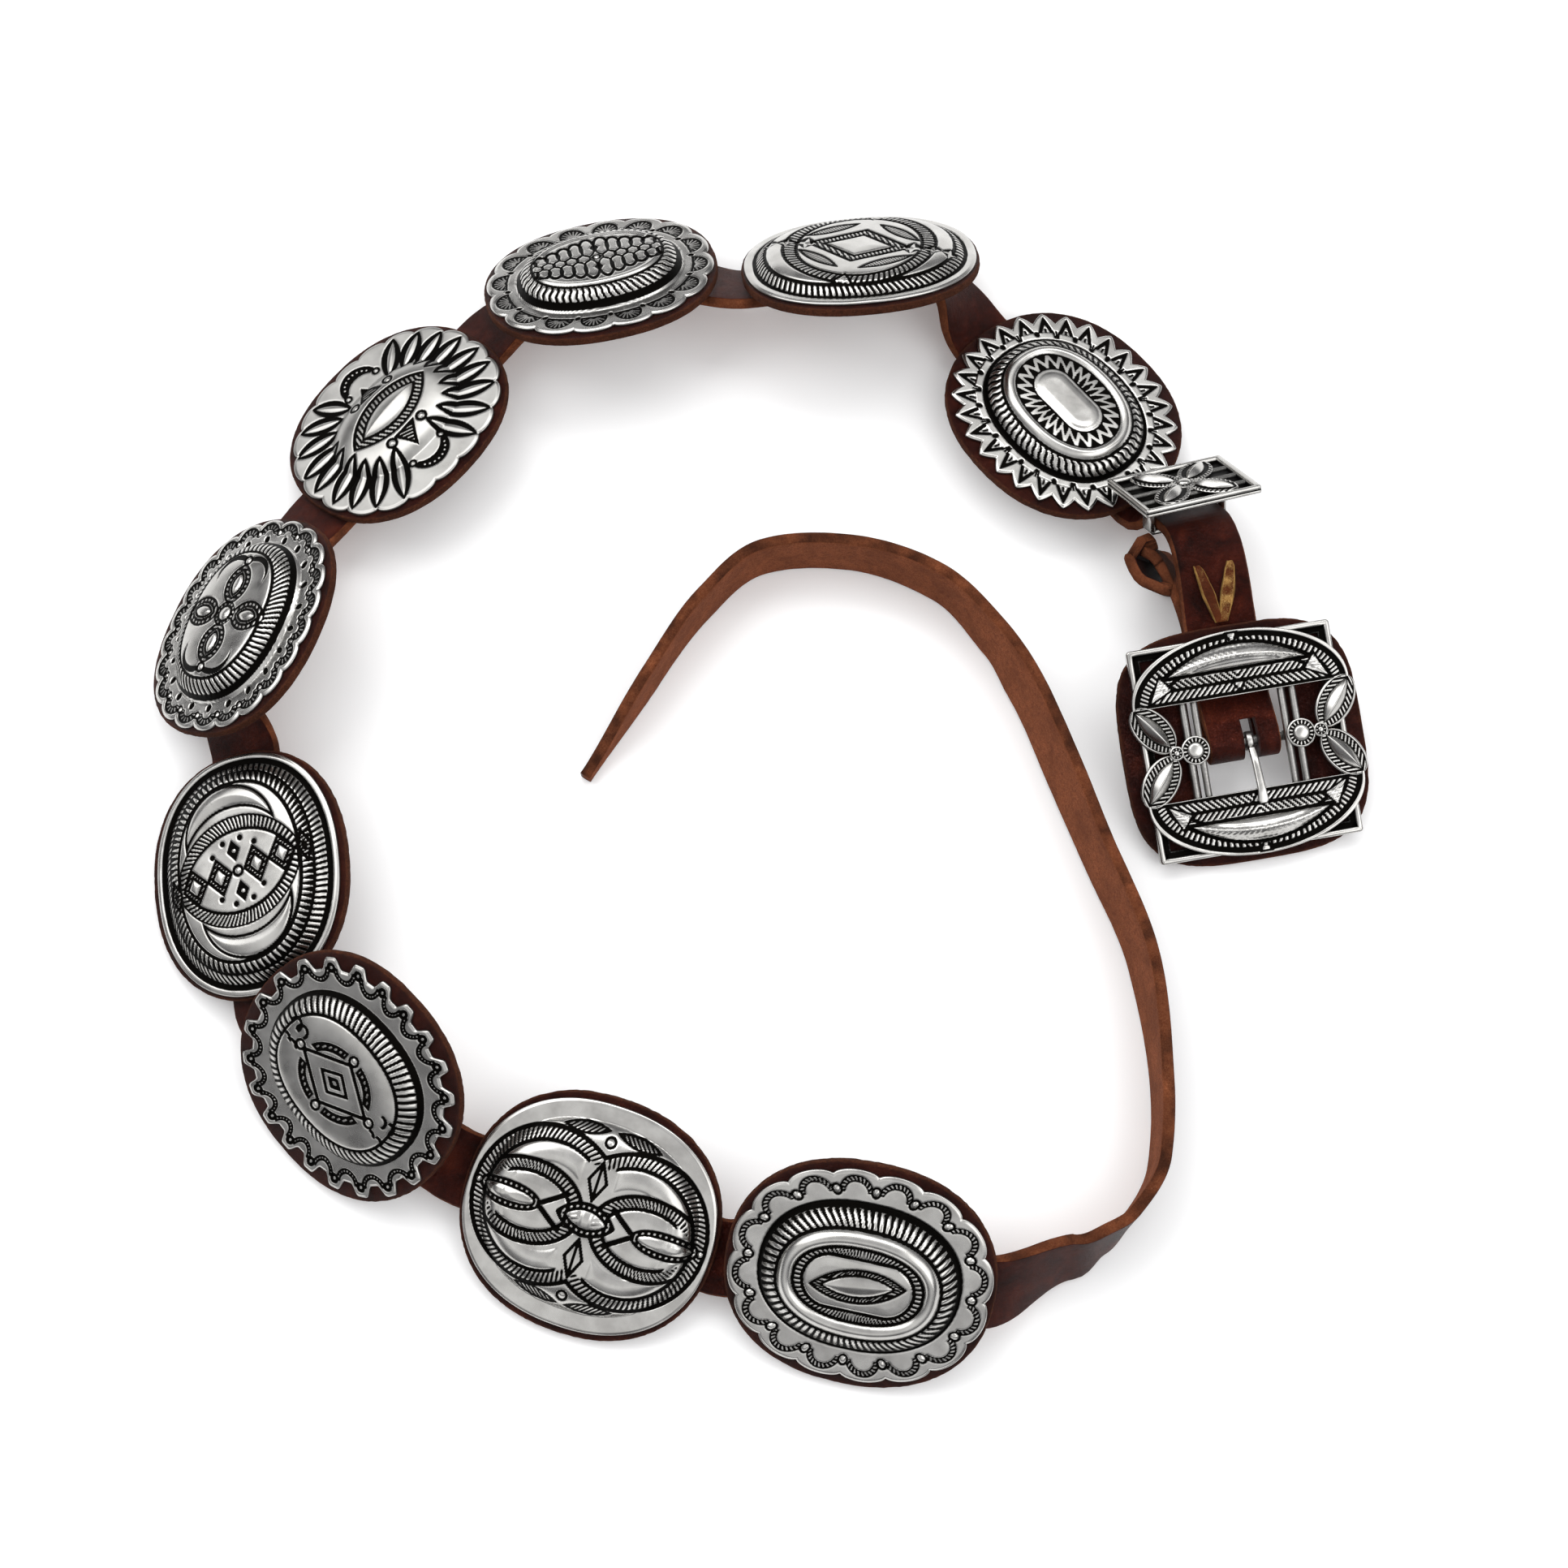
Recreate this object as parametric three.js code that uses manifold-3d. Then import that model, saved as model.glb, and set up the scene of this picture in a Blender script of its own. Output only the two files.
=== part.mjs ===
// A concho belt laid out on a table: nine domed silver conchos on leather backings, a heavy
// leather strap that runs through the loop behind each concho, a square buckle with soldered
// overlays and a tongue, and a silver keeper. Millimetres, +Z up, the table is Z = 0.
// The belt runs round in an open ring and leans outwards: the outer edges rest on the table.

import * as THREE from 'three';
import { mergeVertices } from 'three/addons/utils/BufferGeometryUtils.js';
import Module from 'manifold-3d';

const wasm = await Module();
wasm.setup();

// Clearances
const gap = 0.3;
const slot_room = 0.4;

// Strap and leather
const strap_width = 25.5;
const strap_thickness = 4;
const backing_thickness = 3;
const backing_past_end = 1.4;
const backing_past_side = 2.6;
const backing_sides = 32;
const smooth_sides = 36;

// Conchos
const concho_length = 83;
const concho_width = 71;
const concho_sheet = 1.2;
const concho_squareness = 2.25;
const strap_between = 8;
const loop_sheet = 1;
const loop_width = 10;
const strap_slack = 1.2;

// Buckle
const buckle_width = 71;
const buckle_height = 74;
const buckle_rim = 4.2;
const buckle_sheet = 1.5;
const rim_rise = 1.2;
const window_width = 28;
const window_height = 33;
const rail_width = 2.4;
const rail_space = 1.6;
const overlay_sheet = 1.6;
const overlay_past_side = 2.1;
const overlay_aside = 1;
const overlay_past_top = 1.4;
const lens_length = 48;
const lens_height = 7.4;
const lens_up = 6.4;
const lens_rise = 4;
const bar_diameter = 3.5;
const bar_drop = 3;
const petal_length = 20.5;
const petal_width = 12;
const petal_angle = 53;
const petal_rise = 2.6;
const button_radius = 4.4;
const button_place = 18.5;
const rosette_place = 25.2;
const rosette_radius = 2.6;
const buckle_backing_past = 3.8;
const buckle_backing_past_side = 6.6;
const buckle_backing_squareness = 3.6;
const buckle_heading = 100;
const buckle_pitch = 17;

// Tongue
const tongue_wire = 2.6;
const tongue_tip_width = 3.8;
const tongue_tip_thickness = 1.6;
const tongue_ring_wall = 1.5;
const tongue_offset = -2.4;
const tongue_slot_back = 7.8;

// Keeper
const keeper_width = 44;
const keeper_depth = 32;
const keeper_sheet = 1;
const keeper_rim = 2.6;
const keeper_rim_rise = 1.8;
const keeper_rib_width = 2.4;
const keeper_loop_sheet = 1.2;
const keeper_loop_width = 8;
const keeper_spare_room = 7;
const keeper_clear = 2.4;
const keeper_lift = 1.6;
const keeper_heading = 116;
const keeper_pitch = -42;
const keeper_roll = 13;

// Lacing thong and the hole in the free end
const lace_width = 4.6;
const lace_thickness = 1.5;
const lace_hole = 3;
const lace_spread = 12;
const strap_hole = 2.6;

// One pitch is a concho and the strap that shows beside it: the whole lie is measured in it.
const pitch = concho_length + strap_between;

// The conchos in order from the buckle. heading is the way the belt runs, tilt and rise are how
// far the face leans outwards and how far the belt climbs, all in degrees. way and pace lead from
// the concho before: the direction in degrees and the distance as a share of the pitch. long and
// wide are shares of the length and width. lobes is the number of scallops or points, bite their
// depth as a share of the radius. foot is where the dome starts, as a share of the outline.
// before and after are how far the strap runs straight from the middle, as shares of the length,
// and slack is how much of the strap's slack hangs below the backing there.
const conchos = [
  { way: 136.6, pace: 0.59, heading: 130, tilt: 10, rise: -3, long: 1.01, wide: 1.05,
    lobes: 28, bite: 0.1, foot: 0.68, dome: 6, before: 0.52, after: 0.5, slack: 0 },
  { way: 144.2, pace: 0.992, heading: 186, tilt: 37, rise: 0, long: 1, wide: 0.995,
    lobes: 0, bite: 0, foot: 0.88, dome: 5, before: 0.24, after: 0.5, slack: 1 },
  { way: 182.5, pace: 1.029, heading: 193, tilt: 30, rise: 0, long: 0.99, wide: 0.995,
    lobes: 16, bite: 0.07, foot: 0.68, dome: 7, before: 0.24, after: 0.24, slack: 1 },
  { way: 216.8, pace: 0.985, heading: 231, tilt: 19, rise: 0, long: 0.99, wide: 0.975,
    lobes: 20, bite: 0.06, foot: 0.55, dome: 3.5, before: 0.5, after: 0.5, slack: 0 },
  { way: 238.7, pace: 1.04, heading: 250, tilt: 34, rise: 0, long: 0.98, wide: 0.995,
    lobes: 22, bite: 0.06, foot: 0.72, dome: 7, before: 0.24, after: 0.24, slack: 1 },
  { way: 274.2, pace: 0.956, heading: 278, tilt: 20, rise: -2, long: 1, wide: 0.975,
    lobes: 0, bite: 0, foot: 0.88, dome: 5.5, before: 0.51, after: 0.52, slack: 0 },
  { way: 298.4, pace: 0.887, heading: 312, tilt: 34, rise: -3, long: 0.99, wide: 1,
    lobes: 22, bite: 0.08, foot: 0.7, dome: 7, before: 0.1, after: 0.24, slack: 2.6 },
  { way: 331, pace: 0.996, heading: 341, tilt: 18, rise: 0, long: 1, wide: 1.045,
    lobes: 0, bite: 0, foot: 0.84, dome: 6.5, before: 0.51, after: 0.5, slack: 0 },
  { way: 347.2, pace: 0.985, heading: 348, tilt: 30, rise: 0, long: 1.025, wide: 1.005,
    lobes: 16, bite: 0.06, foot: 0.7, dome: 7.5, before: 0.24, after: 0.44, slack: 1 },
];

// The free end stands on its edge. east and north are the place of its upper edge from the last
// concho, as shares of the pitch; heading is its way, lean how far its top leans outwards from
// upright, both in degrees; wide is its width as a share of the strap's.
const free_end = [
  { east: 0.755, north: 0.13, heading: 8, lean: -22, wide: 1 },
  { east: 0.86, north: 0.155, heading: 28, lean: -9, wide: 1 },
  { east: 0.975, north: 0.222, heading: 50, lean: 0, wide: 1 },
  { east: 1.092, north: 0.42, heading: 80, lean: 2, wide: 1 },
  { east: 1.113, north: 0.69, heading: 91, lean: 2, wide: 1 },
  { east: 1.08, north: 1.169, heading: 102, lean: 9, wide: 1 },
  { east: 0.951, north: 1.538, heading: 112, lean: 11, wide: 1 },
  { east: 0.818, north: 1.912, heading: 111, lean: 14, wide: 1 },
  { east: 0.666, north: 2.274, heading: 118, lean: 13, wide: 1 },
  { east: 0.558, north: 2.435, heading: 129, lean: 8, wide: 1 },
  { east: 0.332, north: 2.66, heading: 149, lean: 3, wide: 1 },
  { east: -0.021, north: 2.778, heading: 174, lean: 0, wide: 1 },
  { east: -0.353, north: 2.757, heading: 198, lean: 0, wide: 1 },
  { east: -0.574, north: 2.567, heading: 228, lean: 0, wide: 1 },
  { east: -0.77, north: 2.285, heading: 239, lean: 0, wide: 0.85 },
  { east: -1.022, north: 1.9, heading: 238, lean: 0, wide: 0.22 },
];

// The tail of the fold curls into an open loop on its edge beside the keeper. east, north and
// high are the place of its upper edge from the buckle's middle, as shares of the strap width;
// heading is its way in degrees.
const curl = [
  { east: -1.08, north: 2.1, high: 0.95, heading: 172 },
  { east: -1.27, north: 2.16, high: 0.95, heading: 148 },
  { east: -1.44, north: 2.36, high: 0.95, heading: 104 },
  { east: -1.47, north: 2.54, high: 0.95, heading: 62 },
  { east: -1.33, north: 2.64, high: 0.95, heading: -14 },
  { east: -1.1, north: 2.44, high: 0.95, heading: -54 },
];
const curl_edge_way = 208;
const curl_edge_climb = 60;

// Colours
const silver = { color: 0xb9b6ae, roughness: 0.32, metalness: 1 };
const strap_leather = { color: 0x4a1c12, roughness: 0.62, metalness: 0 };
const dark_leather = { color: 0x33140e, roughness: 0.68, metalness: 0 };
const lace_leather = { color: 0x8a4a1f, roughness: 0.7, metalness: 0 };

const belt = new THREE.Group();

function radians(degrees) {
  return degrees * Math.PI / 180;
}

function vec(x, y, z) {
  return new THREE.Vector3(x, y, z);
}

// A piece's own axes: t along the belt, s across it towards the inner or upper edge, n outwards.
function axes(heading, tilt, climb) {
  const flat = vec(Math.cos(radians(heading)), Math.sin(radians(heading)), 0);
  const out = vec(Math.sin(radians(heading)), -Math.cos(radians(heading)), 0);
  const up = vec(0, 0, 1);
  const t = flat.clone().multiplyScalar(Math.cos(radians(climb)));
  t.addScaledVector(up, Math.sin(radians(climb)));
  const level = out.clone().cross(t).normalize();
  const n = level.multiplyScalar(Math.cos(radians(tilt)));
  n.addScaledVector(out, Math.sin(radians(tilt)));
  const s = n.clone().cross(t).normalize();
  return { t, s, n };
}

function placed(frame, origin) {
  const matrix = new THREE.Matrix4().makeBasis(frame.t, frame.s, frame.n);
  return matrix.setPosition(origin);
}

function at(frame, origin, along, across, out) {
  const point = origin.clone().addScaledVector(frame.t, along);
  return point.addScaledVector(frame.s, across).addScaledVector(frame.n, out);
}

// Solids and booleans
function solid(geometry) {
  const bare = geometry.index ? geometry : geometry.clone();
  bare.deleteAttribute('normal');
  bare.deleteAttribute('uv');
  const merged = mergeVertices(bare, 1e-4);
  return new wasm.Manifold(new wasm.Mesh({
    numProp: 3,
    vertProperties: new Float32Array(merged.attributes.position.array),
    triVerts: new Uint32Array(merged.index.array),
  }));
}

function geometry(manifold) {
  const mesh = manifold.getMesh();
  const made = new THREE.BufferGeometry();
  made.setAttribute('position', new THREE.BufferAttribute(mesh.vertProperties, 3));
  made.setIndex(new THREE.BufferAttribute(mesh.triVerts, 1));
  made.computeVertexNormals();
  return made;
}

function indexed(points, faces) {
  const made = new THREE.BufferGeometry();
  made.setAttribute('position', new THREE.Float32BufferAttribute(points.flat(), 3));
  made.setIndex(faces);
  return made;
}

function joined(parts) {
  return parts.reduce((whole, part) => whole.add(part));
}

// A form raised over an outline: each level is the outline drawn in to a share, at a height.
function moulded(outline, levels, top, middle = [0, 0]) {
  const count = outline.length;
  const points = [[middle[0], middle[1], levels[0][1]]];
  for (const [share, height] of levels) {
    const inner = typeof share === 'number'
      ? outline.map(([x, y]) => [middle[0] + (x - middle[0]) * share,
        middle[1] + (y - middle[1]) * share])
      : share;
    inner.forEach(([x, y]) => points.push([x, y, height]));
  }
  points.push([middle[0], middle[1], top]);
  const apex = points.length - 1;
  const faces = [];
  for (let i = 0; i < count; i += 1) {
    const next = (i + 1) % count;
    faces.push(0, 1 + next, 1 + i);
    for (let level = 0; level + 1 < levels.length; level += 1) {
      const a = 1 + level * count;
      const b = a + count;
      faces.push(a + i, a + next, b + next);
      faces.push(a + i, b + next, b + i);
    }
    const last = 1 + (levels.length - 1) * count;
    faces.push(last + i, last + next, apex);
  }
  return solid(indexed(points, faces));
}

function plate(outline, low, high, holes = []) {
  const shape = new THREE.Shape(outline.map(([x, y]) => new THREE.Vector2(x, y)));
  for (const hole of holes) {
    shape.holes.push(new THREE.Path(hole.map(([x, y]) => new THREE.Vector2(x, y))));
  }
  const made = new THREE.ExtrudeGeometry(shape, { depth: high - low, bevelEnabled: false });
  made.translate(0, 0, low);
  return solid(made);
}

function block(x0, x1, y0, y1, z0, z1) {
  const made = new THREE.BoxGeometry(x1 - x0, y1 - y0, z1 - z0);
  made.translate((x0 + x1) / 2, (y0 + y1) / 2, (z0 + z1) / 2);
  return solid(made);
}

function rectangle(x0, x1, y0, y1) {
  return [[x0, y0], [x1, y0], [x1, y1], [x0, y1]];
}

function oval(half_length, half_width, squareness, count, lobe = () => 1) {
  const power = 2 / squareness;
  const points = [];
  for (let i = 0; i < count; i += 1) {
    const angle = i / count * 2 * Math.PI;
    const c = Math.cos(angle);
    const s = Math.sin(angle);
    const grow = lobe(i);
    points.push([Math.sign(c) * Math.abs(c) ** power * half_length * grow,
      Math.sign(s) * Math.abs(s) ** power * half_width * grow]);
  }
  return points;
}

// A lens between two arcs, pointed at both ends, along X.
function lens(length, width, steps = 5) {
  const points = [];
  for (let i = 0; i < steps * 2; i += 1) {
    const side = i < steps ? 1 : -1;
    const share = (i % steps) / steps;
    const x = side * (0.5 - share) * length;
    points.push([x, side * width / 2 * Math.sin(Math.PI * share)]);
  }
  return points;
}

function turned(points, degrees, x, y) {
  const c = Math.cos(radians(degrees));
  const s = Math.sin(radians(degrees));
  return points.map(([px, py]) => [x + px * c - py * s, y + px * s + py * c]);
}

function add(name, made, look, frame, origin) {
  const mesh = new THREE.Mesh(made, new THREE.MeshStandardMaterial(look));
  mesh.name = name;
  if (frame) {
    mesh.applyMatrix4(placed(frame, origin));
  }
  belt.add(mesh);
  return mesh;
}

// The layers behind a concho, measured down from the underside of its rim.
const strap_depth = gap + backing_thickness + gap + strap_thickness / 2;
const loop_depth = strap_depth + strap_thickness / 2 + gap;

function conchoOutline(row) {
  const half_length = concho_length / 2 * row.long;
  const half_width = concho_width / 2 * row.wide;
  const per_lobe = row.lobes === 16 ? 3 : 2;
  const count = row.lobes ? row.lobes * per_lobe : smooth_sides;
  const lobe = (i) => (row.lobes && i % per_lobe === 0 ? 1 - row.bite : 1);
  const edge = oval(half_length, half_width, concho_squareness, count, lobe);
  const plain = oval(half_length, half_width, concho_squareness, count);
  return { edge, plain, half_length, half_width };
}

function drawnIn(points, share) {
  return points.map(([x, y]) => [x * share, y * share]);
}

// The silver: a domed sheet, open behind, with a flat loop soldered inside it for the strap.
function conchoSolid(row) {
  const { edge, plain } = conchoOutline(row);
  const shoulder = row.foot - 0.1;
  const crown = row.foot * 0.55;
  const filled = moulded(edge, [
    [1, 0],
    [1, concho_sheet],
    [drawnIn(plain, row.foot), concho_sheet],
    [drawnIn(plain, shoulder), concho_sheet + row.dome * 0.6],
    [drawnIn(plain, crown), concho_sheet + row.dome * 0.93],
  ], concho_sheet + row.dome);
  const hollow = moulded(drawnIn(plain, row.foot - 0.02), [
    [1, -1],
    [1, 0],
    [(shoulder - 0.02) / (row.foot - 0.02), row.dome * 0.58],
  ], row.dome * 0.85);
  const leg_in = strap_width / 2 + gap;
  const leg_out = leg_in + loop_sheet;
  const below = block(-concho_length, concho_length, -concho_width, concho_width,
    -loop_depth - loop_sheet * 2, 0.1);
  const reach = filled.add(below);
  const legs = [-1, 1].map((side) => {
    const low = Math.min(side * leg_in, side * leg_out);
    return block(-loop_width / 2, loop_width / 2, low, low + loop_sheet,
      -loop_depth - loop_sheet, row.dome).intersect(reach);
  });
  const bridge = block(-loop_width / 2, loop_width / 2, -leg_out, leg_out,
    -loop_depth - loop_sheet, -loop_depth);
  return joined([filled.subtract(hollow), ...legs, bridge]);
}

function backingSolid(row) {
  const { half_length, half_width } = conchoOutline(row);
  const edge = oval(half_length + backing_past_end, half_width + backing_past_side,
    concho_squareness, backing_sides);
  const slot_x = loop_width / 2 + slot_room;
  const slot_in = strap_width / 2 + gap - slot_room;
  const slot_out = strap_width / 2 + gap + loop_sheet + slot_room;
  const slots = [rectangle(-slot_x, slot_x, slot_in, slot_out),
    rectangle(-slot_x, slot_x, -slot_out, -slot_in)];
  return plate(edge, -gap - backing_thickness, -gap, slots);
}

// How high a concho's middle lies when its backing, its loop or its strap rests on the table.
function restingHeight(row, frame) {
  const { half_length, half_width } = conchoOutline(row);
  const edge = oval(half_length + backing_past_end, half_width + backing_past_side,
    concho_squareness, backing_sides);
  const under = -gap - backing_thickness;
  const corner = strap_width / 2 + gap + loop_sheet;
  const loop = rectangle(-loop_width / 2, loop_width / 2, -corner, corner)
    .map(([x, y]) => x * frame.t.z + y * frame.s.z - (loop_depth + loop_sheet) * frame.n.z);
  const rim = edge.map(([x, y]) => x * frame.t.z + y * frame.s.z + under * frame.n.z);
  const strap_under = strap_depth + strap_slack * row.slack + strap_thickness / 2;
  const strap_edge = rectangle(-row.before * concho_length, row.after * concho_length,
    -strap_width / 2, strap_width / 2)
    .map(([x, y]) => x * frame.t.z + y * frame.s.z - strap_under * frame.n.z);
  return -Math.min(...rim, ...loop, ...strap_edge);
}

// The ring of conchos, walked from the buckle outwards.
const buckle_frame = axes(buckle_heading, 0, buckle_pitch);
const backing_half = buckle_height / 2 + buckle_backing_past;
const buckle_origin = vec(0, 0, backing_half * Math.sin(radians(buckle_pitch))
  + (gap + backing_thickness) * Math.cos(radians(buckle_pitch)));
const bar_centre = -bar_drop;

const keeper_frame = axes(keeper_heading, keeper_roll, keeper_pitch);
const keeper_east = -0.2;
const keeper_north = 0.975;
const keeper_inside = strap_thickness + gap * 2 + keeper_spare_room;
const keeper_origin = vec(pitch * keeper_east, pitch * keeper_north,
  strap_width / 2 + keeper_inside + keeper_loop_sheet + keeper_lift);

const places = [];
const walk = keeper_origin.clone();
for (const row of conchos) {
  const frame = axes(row.heading, row.tilt, row.rise);
  walk.x += Math.cos(radians(row.way)) * row.pace * pitch;
  walk.y += Math.sin(radians(row.way)) * row.pace * pitch;
  const origin = walk.clone().setZ(restingHeight(row, frame));
  places.push({ row, frame, origin });
}

places.forEach(({ row, frame, origin }, index) => {
  add(`concho_${index + 1}`, geometry(conchoSolid(row)), silver, frame, origin);
  add(`backing_${index + 1}`, geometry(backingSolid(row)), dark_leather, frame, origin);
});

// The strap is drawn through stations: a place, the way it runs and the way to its upper edge.
function station(place, way, edge, steps, wide = 1) {
  return { place, way: way.clone().normalize(), edge: edge.clone(), steps, wide };
}

function between(a, b, share) {
  const chord = a.place.distanceTo(b.place);
  const s2 = share * share;
  const s3 = s2 * share;
  const place = a.place.clone().multiplyScalar(2 * s3 - 3 * s2 + 1);
  place.addScaledVector(a.way, (s3 - 2 * s2 + share) * chord);
  place.addScaledVector(b.place, 3 * s2 - 2 * s3);
  place.addScaledVector(b.way, (s3 - s2) * chord);
  const way = a.place.clone().multiplyScalar(6 * s2 - 6 * share);
  way.addScaledVector(a.way, (3 * s2 - 4 * share + 1) * chord);
  way.addScaledVector(b.place, 6 * share - 6 * s2);
  way.addScaledVector(b.way, (3 * s2 - 2 * share) * chord);
  way.normalize();
  const eased = 3 * s2 - 2 * s3;
  const edge = a.edge.clone().lerp(b.edge, eased);
  edge.addScaledVector(way, -edge.dot(way)).normalize();
  return { place, way, edge, wide: a.wide + (b.wide - a.wide) * eased };
}

function drawn(stations) {
  const sections = [];
  for (let i = 0; i + 1 < stations.length; i += 1) {
    for (let step = 0; step < stations[i].steps; step += 1) {
      sections.push(between(stations[i], stations[i + 1], step / stations[i].steps));
    }
  }
  sections.push(between(stations.at(-2), stations.at(-1), 1));
  return sections;
}

// A flat bar lofted through sections, closed at both ends.
function lofted(sections, width, thickness) {
  const points = [];
  for (const { place, way, edge, wide } of sections) {
    const out = way.clone().cross(edge);
    for (const [side, face] of [[-1, -1], [1, -1], [1, 1], [-1, 1]]) {
      const corner = place.clone().addScaledVector(edge, side * width * wide / 2);
      corner.addScaledVector(out, face * thickness / 2);
      points.push(corner.toArray());
    }
  }
  const faces = [];
  for (let i = 0; i + 1 < sections.length; i += 1) {
    for (let k = 0; k < 4; k += 1) {
      const next = (k + 1) % 4;
      const a = i * 4;
      const b = a + 4;
      faces.push(a + k, a + next, b + next);
      faces.push(a + k, b + next, b + k);
    }
  }
  const end = (sections.length - 1) * 4;
  faces.push(0, 2, 1, 0, 3, 2);
  faces.push(end, end + 1, end + 2, end, end + 2, end + 3);
  return solid(indexed(points, faces));
}

// Stations in a flat layer of the buckle's own plane: v along the belt, h out of the plane.
function inBuckle(v, h, way_v, way_h, steps) {
  const place = at(buckle_frame, buckle_origin, v, 0, h);
  const way = buckle_frame.t.clone().multiplyScalar(way_v);
  way.addScaledVector(buckle_frame.n, way_h);
  return station(place, way, buckle_frame.s, steps);
}

const fold_radius = bar_diameter / 2 + gap + strap_thickness / 2;
const front_depth = -(gap * 2 + backing_thickness + strap_thickness / 2);
const return_depth = front_depth - strap_thickness - gap;
const under_top = window_height / 2 + 2;
const past_top = buckle_height / 2 + overlay_past_top + 2;

function curlStations() {
  const climb = radians(curl_edge_climb);
  const edge = vec(Math.cos(radians(curl_edge_way)) * Math.cos(climb),
    Math.sin(radians(curl_edge_way)) * Math.cos(climb), Math.sin(climb));
  return curl.map((row) => {
    const upper = vec(buckle_origin.x + row.east * strap_width,
      buckle_origin.y + row.north * strap_width, row.high * strap_width);
    const way = vec(Math.cos(radians(row.heading)), Math.sin(radians(row.heading)), 0);
    way.addScaledVector(edge, -way.dot(edge));
    return station(upper.addScaledVector(edge, -strap_width / 2), way, edge, 2);
  });
}

function foldStations() {
  const fold = [];
  fold.push(inBuckle(past_top, return_depth, -1, 0, 2));
  fold.push(inBuckle(under_top, return_depth, -1, 0, 3));
  fold.push(inBuckle(0, bar_centre - fold_radius, -1, 0, 4));
  fold.push(inBuckle(-fold_radius, bar_centre, 0, 1, 4));
  fold.push(inBuckle(0, bar_centre + fold_radius, 1, 0, 3));
  fold.push(inBuckle(under_top, front_depth, 1, 0, 2));
  return fold;
}

function keeperStation() {
  const depth = -(keeper_inside - gap - strap_thickness / 2);
  return [-1, 1].map((side) => station(
    at(keeper_frame, keeper_origin, side * (keeper_loop_width / 2 + keeper_clear), 0, depth),
    keeper_frame.t, keeper_frame.s, side < 0 ? 1 : 4));
}

function conchoStations() {
  const list = [];
  places.forEach(({ frame, origin, row }) => {
    const slack_depth = strap_depth + strap_slack * row.slack;
    const loop_end = loop_width / 2 + gap * 3;
    const start = at(frame, origin, -row.before * concho_length, 0, -slack_depth);
    const end = at(frame, origin, row.after * concho_length, 0, -slack_depth);
    list.push(station(start, frame.t, frame.s, 1));
    list.push(station(at(frame, origin, -loop_end, 0, -strap_depth), frame.t, frame.s, 1));
    list.push(station(at(frame, origin, loop_end, 0, -strap_depth), frame.t, frame.s, 1));
    list.push(station(end, frame.t, frame.s, 5));
  });
  return list;
}

function freeEndStations() {
  const from = places.at(-1).origin;
  return free_end.map((row, index) => {
    const heading = radians(row.heading);
    const lean = radians(row.lean);
    const edge = vec(Math.sin(heading) * Math.sin(lean), -Math.cos(heading) * Math.sin(lean),
      Math.cos(lean));
    const width = strap_width * row.wide;
    const high = width * Math.cos(lean) + strap_thickness / 2 * Math.abs(Math.sin(lean));
    const upper = vec(from.x + row.east * pitch, from.y + row.north * pitch, high);
    const way = vec(Math.cos(heading), Math.sin(heading), 0);
    way.addScaledVector(edge, -way.dot(edge));
    const steps = index + 1 < free_end.length ? 3 : 1;
    return station(upper.addScaledVector(edge, -width / 2), way, edge, steps, row.wide);
  });
}

const front_end = inBuckle(past_top, front_depth, 1, 0, 8);
const keeper_ends = keeperStation();
const stations = [
  ...curlStations(),
  ...foldStations(),
  front_end,
  ...keeper_ends,
  ...conchoStations(),
  ...freeEndStations(),
];
const curl_end = stations[curl.length - 1];
curl_end.steps = 6;

// The thong crosses the front layer in a V between the buckle and the keeper.
const lace_low = between(front_end, keeper_ends[0], 0.04);
const lace_high = between(front_end, keeper_ends[0], 0.5);
const lace_lift = strap_thickness / 2 + gap + lace_thickness / 2;

function laceArm(side) {
  const sections = [];
  for (let step = 0; step <= 4; step += 1) {
    const share = 0.04 + 0.46 * step / 4;
    const base = between(front_end, keeper_ends[0], share);
    const out = base.way.clone().cross(base.edge);
    const place = base.place.clone().addScaledVector(out, lace_lift);
    place.addScaledVector(base.edge, side * lace_spread / 2 * (0.12 + 0.88 * step / 4));
    sections.push({ place, way: base.way, edge: base.edge, wide: 1 - 0.25 * Math.abs(step - 2) / 2 });
  }
  return lofted(sections, lace_width, lace_thickness);
}

// A round peg square to the strap at a section, from a height above its middle to one below.
function peg(base, across, radius, above, below) {
  const out = base.way.clone().cross(base.edge);
  const frame = { t: base.way, s: base.edge, n: out };
  const made = new THREE.CylinderGeometry(radius, radius, above + below, 10);
  made.rotateX(Math.PI / 2);
  made.translate(0, across, (above - below) / 2);
  made.applyMatrix4(placed(frame, base.place));
  return solid(made);
}

const lace_across = lace_spread / 2;
const peg_radius = lace_hole / 2 - gap;
const peg_below = strap_thickness / 2;
const lace = joined([
  laceArm(-1),
  laceArm(1),
  peg(lace_high, -lace_across, peg_radius, lace_lift, peg_below),
  peg(lace_high, lace_across, peg_radius, lace_lift, peg_below),
  peg(lace_low, 0, peg_radius, lace_lift, peg_below),
]);
add('lace', geometry(lace), lace_leather);

const lace_holes = [
  peg(lace_high, -lace_across, lace_hole / 2, strap_thickness, strap_thickness / 2 + gap / 2),
  peg(lace_high, lace_across, lace_hole / 2, strap_thickness, strap_thickness / 2 + gap / 2),
  peg(lace_low, 0, lace_hole / 2, strap_thickness, strap_thickness / 2 + gap / 2),
];

// The slot through both layers of the fold, where the tongue sits on the bar.
const slot_half = tongue_tip_width / 2 + slot_room * 2;
const slot = block(-fold_radius - strap_thickness, tongue_slot_back,
  tongue_offset - slot_half, tongue_offset + slot_half,
  bar_centre - fold_radius - strap_thickness, bar_centre + fold_radius + strap_thickness)
  .transform(placed(buckle_frame, buckle_origin).elements);

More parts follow.
